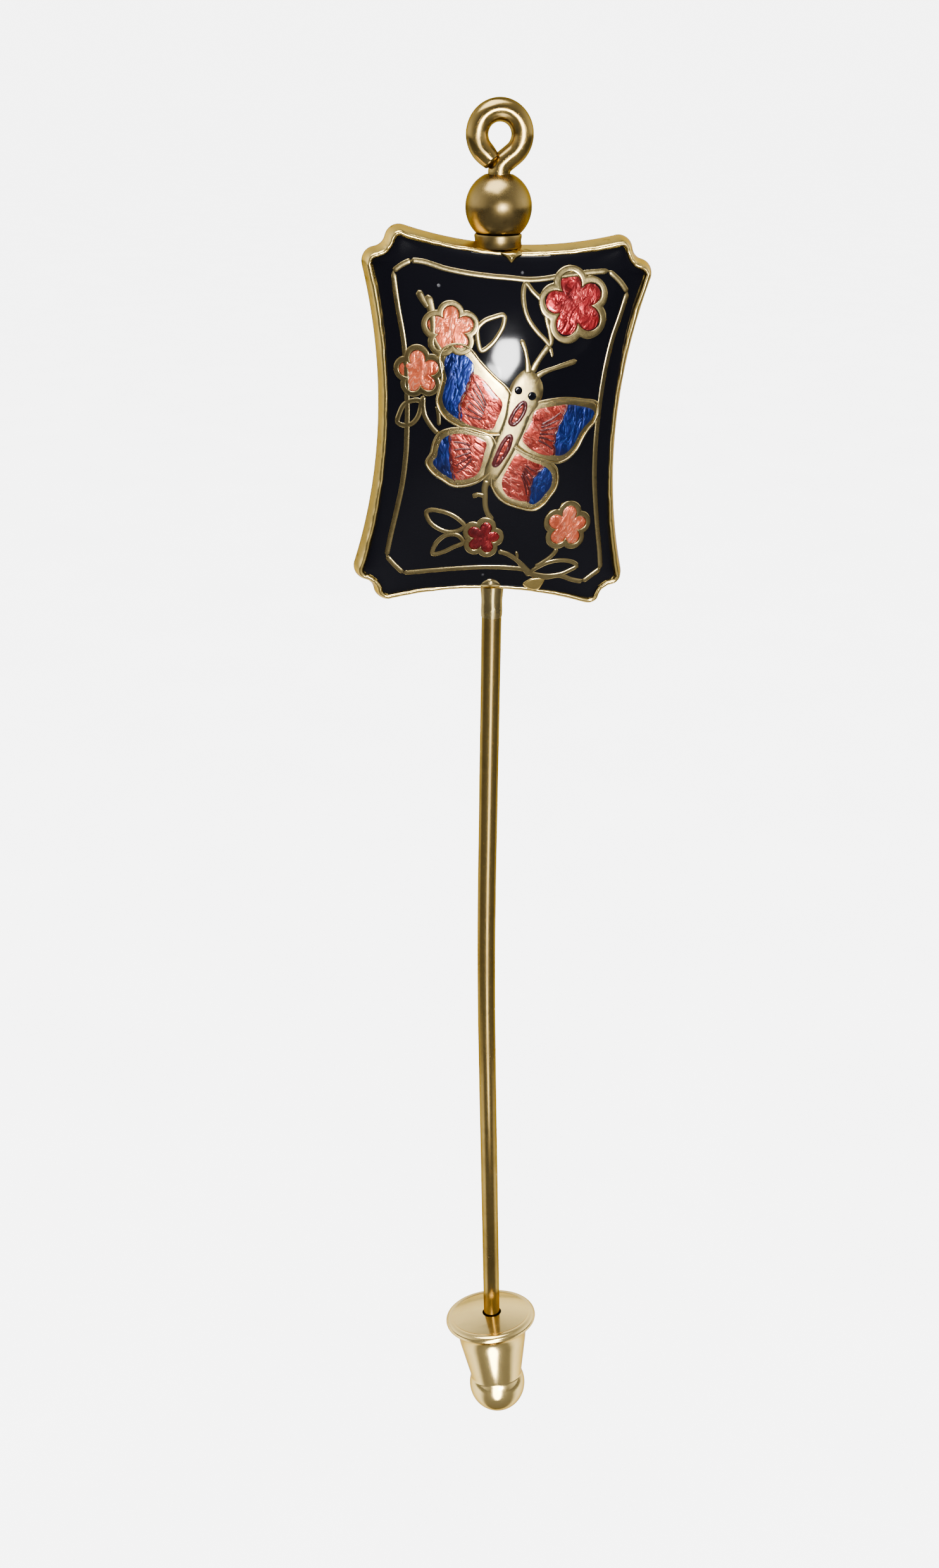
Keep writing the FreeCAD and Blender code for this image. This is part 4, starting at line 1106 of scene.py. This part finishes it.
def turn_sign(loop):
    """1 where the loop runs anticlockwise, so that its side normals point inwards, and -1 otherwise."""
    x, z = loop.T
    return 1.0 if np.sum(x * np.roll(z, -1) - np.roll(x, -1) * z) > 0 else -1.0


def grown(loop, reach):
    """A closed curve moved outwards by so much along its normals."""
    return loop - side_normals(loop, True) * reach * turn_sign(loop)


def scalloped(points):
    """The border between two cells as small scallops: 0.05 |sin| of the way along the path, sideways."""
    path = smooth_path(points, 6)
    wave = np.abs(np.sin(np.linspace(0, 5 * math.pi, len(path))))
    return path + side_normals(path, False) * 0.05 * wave[:, None]


def vein_fan(root, first, last, count, rise, side):
    """Thin lines from part of the way out from a root to points shared out along a far edge, each bowed."""
    root, first, last = (np.array(point) for point in (root, first, last))
    veins = []
    for share in np.linspace(0.08, 0.92, count):
        way = first + (last - first) * share - root
        start, end = root + way * VEIN_START, root + way
        bow = np.array([-way[1], way[0]]) * 0.06 * (share - 0.5)
        points = [start, (start + end) / 2 + bow, end]
        veins.append(line_path(points, (VEIN_WIDTH, VEIN_WIDTH, VEIN_WIDTH * 0.6), rise, side))
    return veins


def wing_metal(side):
    """The four wings' plates and raised edges, and the body's plate."""
    edge = bpy.context.scene.stick_pin_sizes.wing_line / MM
    trim = [grown(smooth_loop(plate), WING_GROWTH) for plate, _, _, _ in WINGS]
    plates = [plate_on_face(loop, WING_RISE, LINE_FOOT, side, 10, 30.0) for loop in trim]
    edges = [line_loop(grown(loop, -0.5 * edge), edge, WING_EDGE_RISE, side) for loop in trim]
    body = grown(smooth_loop(BODY_PLATE), BODY_GROWTH)
    return [*plates, *edges, plate_on_face(body, BODY_RISE, BODY_FOOT, side, 18, 9.0, BODY_MIDDLE)]


def wing_fills(cells, side):
    """The enamel of wing cells, a little larger than the cells so that it meets their edges."""
    cell = bpy.context.scene.stick_pin_sizes.cell_height / MM
    loops = [grown(smooth_loop(points), CELL_GROWTH) for points in cells]
    return [plate_on_face(loop, cell, 0.0, side, 14, 10.0) for loop in loops]


def wing_veins(side):
    """The veins' fans, the scalloped borders between the wings' cells, and the rings of the body's cells."""
    rise = bpy.context.scene.stick_pin_sizes.cell_height / MM + VEIN_RISE
    veins = [vein for fan in VEINS for vein in vein_fan(*fan, rise, side)]
    veins += [line_path(scalloped(border), (VEIN_WIDTH,) * 3, rise, side) for _, _, _, border in WINGS]
    rings = [line_loop(smooth_loop(points), BODY_RING, BODY_RING_RISE, side) for points in BODY_CELLS]
    return veins + rings


class STICKPIN_OT_butterfly(bpy.types.Operator):
    """Build the butterfly: wing plates and edges, wing enamels, body and eyes"""

    bl_idname = "stickpin.butterfly"
    bl_label = "Butterfly"

    def execute(self, context):
        rose = [rest + border for _, rest, _, border in WINGS]
        blue = [border[::-1] + rest for _, _, rest, border in WINGS]
        body_loops = [smooth_loop(points) for points in BODY_CELLS]
        for side in SIDES:
            settle(side + "_wings", wing_metal(side), metal("line gilding"), "pin", "struck_gilt", sharp=60)
            body_fills = [plate_on_face(loop, BODY_FILL_RISE, 0.05, side, 8, 8.0) for loop in body_loops]
            settle(side + "_rose_wings", wing_fills(rose, side) + body_fills, enamel("rose"), "pin",
                   "rose_enamel", side + "_pink_enamel", sharp=70)
            settle(side + "_blue_wings", wing_fills(blue, side), enamel("blue"), "pin", "blue_enamel",
                   side + "_blue_enamel", sharp=70)
            settle(side + "_veins", wing_veins(side), enamel("vein"), "pin", "crimson_enamel")
            eyes = [plate_on_face(petal_loop(x, z, r, 0.0, 0, 32), EYE_SPOT_RISE, 0.06, side, 8, 8.0, (x, z))
                    for x, z, r in EYES]
            settle(side + "_eyes", eyes, black_enamel(), "pin", "black_enamel", side + "_eye_enamel",
                   sharp=60)
        return {"FINISHED"}


# ---- clutch ----------------------------------------------------------------------------------------------
def clutch_axis():
    """The centre of the rim plane and the shell's axis, which leans on a pivot inside it.

    The axis starts along the run, turned by the tilt towards the front and by the cant towards +X.
    """
    x, y, z = math.cos(TILT) * math.sin(CANT), -math.sin(TILT), -math.cos(TILT) * math.cos(CANT)
    down = np.array([x * math.cos(BEND_TURN) - z * math.sin(BEND_TURN), y,
                     x * math.sin(BEND_TURN) + z * math.cos(BEND_TURN)])
    return CLUTCH_POINT + RUN_WAY * LEAN_PIVOT - down * LEAN_PIVOT, down


def arc_profile(centre_r, centre_h, r, start, end, steps):
    """Profile points on an arc, angles in degrees from the outward radius towards the foot."""
    turn = np.radians(np.linspace(start, end, steps))
    return np.stack([centre_r + r * np.cos(turn), centre_h + r * np.sin(turn)], 1)


def cap_surface(point, down):
    """The crimped disc: rings shared out from the rim's circle to the off-centre hole that the pin runs in.

    Its top stands at edge + rise (1 - (radius / edge radius)^2) above the rim plane.
    """
    side, other, _ = round_ways(down, 1)
    edge_r = RIM_R - 1.4 * ROLL_R
    gap = CLUTCH_POINT - point
    gap = gap - RUN_WAY * ((gap @ down + CAP_EDGE + CAP_RISE) / (RUN_WAY @ down))
    hole = np.array([gap @ side, gap @ other])
    turn = np.linspace(0, 2 * math.pi, 112, endpoint=False)
    out = np.stack([np.cos(turn), np.sin(turn)], 1)
    v = np.linspace(1, 0, 24)[:, None, None]
    flat = (1 - v) * (hole + CAP_HOLE * out) + v * edge_r * out
    top = CAP_EDGE + CAP_RISE * (1 - (np.linalg.norm(flat, axis=2) / edge_r) ** 2)
    flat = np.concatenate([flat, flat[-1:] - 0.02 * out, flat[::-1]])
    level = np.concatenate([top, top[-1:] - CAP_WALL / 2, top[::-1] - CAP_WALL])
    return ring_surface(point + flat[..., :1] * side + flat[..., 1:] * other - level[..., None] * down)


def bell_profile():
    """The clutch's section: rolled rim, throat, sloping flank, waist and bulb, then the wall's inside."""
    roll_r = RIM_R - ROLL_R
    seat_r = roll_r - ROLL_R
    roll = arc_profile(roll_r, 0.0, ROLL_R, -90, 84, 26)
    throat = smooth_path([(roll_r, ROLL_R + 0.01), (2.34, 0.56), (2.19, 0.98), (BODY_R, BODY_TOP)], 7)
    waist_turn = -math.acos(WAIST_R / BULB_R)
    waist = BULB_CENTRE + BULB_R * math.sin(waist_turn)
    flank = np.linspace((BODY_R, BODY_TOP), (WAIST_R + 0.01, waist - 0.05), 16)[1:]
    bulb = arc_profile(0.0, BULB_CENTRE, BULB_R, math.degrees(waist_turn), 89.0, 40)
    inside = arc_profile(0.0, BULB_CENTRE, BULB_R - SHELL_WALL, 89.0, -26, 20)
    bore = [[2.06, 0.15], [seat_r, 0.15], [seat_r, -0.16], [seat_r + 0.08, -0.24]]
    return np.vstack([roll, throat[1:], flank, bulb, inside[1:], bore])


class STICKPIN_OT_clutch(bpy.types.Operator):
    """Build the clutch's shell, its crimped disc, and finish the grip sleeve inside"""

    bl_idname = "stickpin.clutch"
    bl_label = "Clutch"

    def execute(self, context):
        point, down = clutch_axis()
        bell = turned_piece(bell_profile(), point, down, 128)
        for name, surface, node in (("clutch_bell", bell, "clutch_shell"),
                                    ("clutch_cap", cap_surface(point, down), "clutch_disc")):
            settle(name, [surface], metal("clutch gilding"), "clutch", "clutch_gilt", node, sharp=40)
        sleeve = frame["nodes"]["grip_sleeve"].data.materials
        sleeve.clear()
        sleeve.append(metal("drawn brass wire"))
        return {"FINISHED"}


# ---- stage -----------------------------------------------------------------------------------------------
PALE = 6.0                      # brightness of the pale ground and surround
# each light: its name, place, target, size across and along, power in watts, shape, and the only pieces it
# lights, or none named where it lights all
LIGHTS = [
    ("key", (36, -250, 32), (0, 0, 12), (44, 44), 0.75, "DISK", []),
    ("low key", (12, -250, 12), (0, 0, 12), (26, 26), 0.16, "DISK", []),
    ("overhead", (-60, -60, 330), (0, 0, -20), (260, 260), 3.0, "SQUARE", []),
    ("butterfly card", (11, -60, -5), (0.8, 0, 9), (11, 34), 0.0115, "ELLIPSE", ["front_wings"]),
    ("wire strip", (2, -30, -26), (0.4, 0, -26), (8, 56), 0.018, "RECTANGLE", ["wire_and_eye", "solder"]),
    ("clutch card", (0.4, -6.5, -49.6), (0.9, 0, -49.6), (3.0, 8.6), 0.0015, "ELLIPSE",
     ["clutch_bell", "clutch_cap"]),
]


def add_area(name, place, target, size, power, shape, only):
    """A soft light aimed at a target, all in millimetres. With names in only, it lights just those pieces."""
    data = bpy.data.lights.new(name, "AREA")
    data.shape = shape
    data.size = size[0] * MM
    data.size_y = size[1] * MM
    data.energy = power
    light = bpy.data.objects.new(name, data)
    light.location = Vector(place) * MM
    light.rotation_euler = (Vector(target) - Vector(place)).to_track_quat("-Z", "Y").to_euler()
    bpy.context.scene.collection.objects.link(light)
    if only:
        lit = bpy.data.collections.new(name + " lights")
        for piece in only:
            lit.objects.link(bpy.data.objects[piece])
        light.light_linking.receiver_collection = lit


def floor_surface(drop):
    """A wide flat disc: rings of growing radius about the pin, at one height."""
    radii = np.array([20.0, 100.0, 300.0, 1000.0, 3000.0])
    z = min(STEM_FOOT, CLUTCH_FOOT) - drop
    top = radii[:, None, None] * round_ways(np.array([0.0, 0.0, -1.0]), 64)[2] + [0, 0, z]
    return ring_surface(np.concatenate([top, top[::-1] - [0, 0, 2.0]]), [0, 0, z], [0, 0, z - 2.0])


WHITE = (1.0, 1.0, 1.0, 1)
BLACK = (0.0, 0.0, 0.0, 1)
MOTTLE = (0.90, 0.90, 0.905, 1)
# painted reflection: the floor as the metals mirror it, bright and dim
PAINTED_MIRROR_TONES = ((0.90, 0.90, 0.90, 1), (0.10, 0.10, 0.105, 1))      # bright and dim
FRONT_SHADE, BACK_SHADE, TOP_SHADE = (0.020, 0.020, 0.022, 1), (0.34, 0.34, 0.34, 1), (0.06, 0.06, 0.062, 1)


def camera_ray(tree):
    """1 for what the camera sees straight, 0 for what is mirrored or lit."""
    return add_node(tree, "LightPath").outputs["Is Camera Ray"]


def floor_material():
    """Plain pale matt floor with the faintest mottling.

    What the polished metal mirrors of it is painted shade and painted reflection: dimmer, except behind the
    pin and close beside the clutch's foot, which lays bright and dark streaks on the metal.
    """
    made, tree, shader = new_material("pale floor")
    place = object_place(tree)
    flat = maths(tree, "MULTIPLY", place, (1.0, 1.0, 0.0), vector=True)
    way = maths(tree, "NORMALIZE", flat, vector=True)
    behind = add_node(tree, "SeparateXYZ", Vector=way).outputs["Y"]
    far = span(tree, maths(tree, "LENGTH", flat, vector=True), 0.040, 0.060)
    near = maths(tree, "SUBTRACT", 1.0, far)
    # painted shade and painted reflection: darker in front of the pin, lighter behind it and, near the pin,
    # beside it
    dim = maths(tree, "ADD", times(tree, span(tree, behind, 0.50, 0.10), far),
                times(tree, span(tree, behind, -0.30, -0.62), near))
    glow = blend_colours(tree, noise(tree, place, 60.0, 3.0), WHITE, MOTTLE)
    seen = camera_ray(tree)
    fill(tree, shader, Base_Color=blend_colours(tree, seen, blend_colours(tree, dim, *PAINTED_MIRROR_TONES),
                                                user_colour("floor")),
         Emission_Color=blend_colours(tree, seen, BLACK, glow), Emission_Strength=PALE, Roughness=0.9,
         Specular_IOR_Level=0.0)
    return made


def pale_world():
    """Soft surround: bright behind and beside the pin, darker overhead and darkest in front of it."""
    world = bpy.data.worlds.new("soft surround")
    world.use_nodes = True
    tree = world.node_tree
    parts = add_node(tree, "SeparateXYZ", Vector=add_node(tree, "TexCoord").outputs["Generated"]).outputs
    shade = blend_colours(tree, span(tree, parts["Y"], -0.85, 0.0), FRONT_SHADE, BACK_SHADE)
    shade = blend_colours(tree, span(tree, parts["Z"], 0.25, 0.85), shade, TOP_SHADE)
    fill(tree, tree.nodes["Background"], Color=blend_colours(tree, camera_ray(tree), shade, WHITE),
         Strength=PALE)
    bpy.context.scene.world = world


SENSOR = 36.0
FOCAL_SHARE = 2400.0 / 2479.0   # the focal length over the sensor's longer side
CAMERA_PLACE = (-9.276, -71.888, 25.427)
# its right, up and back
CAMERA_AXES = ((0.99396, -0.1093, 0.01003), (0.03835, 0.43143, 0.90133), (-0.10284, -0.8955, 0.43302))


def place_camera():
    """The camera, in front of the pin and above it, turned, dipped and rolled."""
    data = bpy.data.cameras.new("camera")
    data.sensor_width = SENSOR
    data.lens = SENSOR * FOCAL_SHARE
    data.clip_start = 0.001
    data.clip_end = 10.0
    camera = bpy.data.objects.new("camera", data)
    turn = Matrix(CAMERA_AXES).transposed().to_4x4()
    camera.matrix_world = Matrix.Translation(Vector(CAMERA_PLACE) * MM) @ turn
    bpy.context.scene.collection.objects.link(camera)
    bpy.context.scene.camera = camera


class STICKPIN_OT_stage(bpy.types.Operator):
    """Build the pale floor, the soft light and the camera"""

    bl_idname = "stickpin.stage"
    bl_label = "Stage"

    def execute(self, context):
        drop = context.scene.stick_pin_sizes.floor_drop / MM
        make_piece("floor", [floor_surface(drop)], floor_material())
        pale_world()
        for light in LIGHTS:
            add_area(*light)
        place_camera()
        return {"FINISHED"}


# ---- add-on ----------------------------------------------------------------------------------------------
class STICKPIN_PT_panel(bpy.types.Panel):
    """The builder's sidebar panel"""

    bl_label = "Stick Pin"
    bl_idname = "STICKPIN_PT_panel"
    bl_space_type = "VIEW_3D"
    bl_region_type = "UI"
    bl_category = "Stick Pin"

    def draw(self, context):
        for group in (context.scene.stick_pin_sizes, context.scene.stick_pin_colours):
            for key in group.__annotations__:
                self.layout.prop(group, key)
        for operator in OPERATORS:
            self.layout.operator(operator.bl_idname)


OPERATORS = (STICKPIN_OT_wire, STICKPIN_OT_ball, STICKPIN_OT_joints, STICKPIN_OT_case, STICKPIN_OT_lines,
             STICKPIN_OT_flowers, STICKPIN_OT_butterfly, STICKPIN_OT_clutch, STICKPIN_OT_stage)
CLASSES = (StickPinSizes, StickPinColours, *OPERATORS, STICKPIN_PT_panel)


def register():
    for item in CLASSES:
        bpy.utils.register_class(item)
    bpy.types.Scene.stick_pin_sizes = PointerProperty(type=StickPinSizes)
    bpy.types.Scene.stick_pin_colours = PointerProperty(type=StickPinColours)


def unregister():
    del bpy.types.Scene.stick_pin_colours
    del bpy.types.Scene.stick_pin_sizes
    for item in reversed(CLASSES):
        bpy.utils.unregister_class(item)


def main():
    register()
    for operator in OPERATORS:
        getattr(bpy.ops.stickpin, operator.bl_idname.split(".")[1])()


if __name__ == "__main__":
    main()
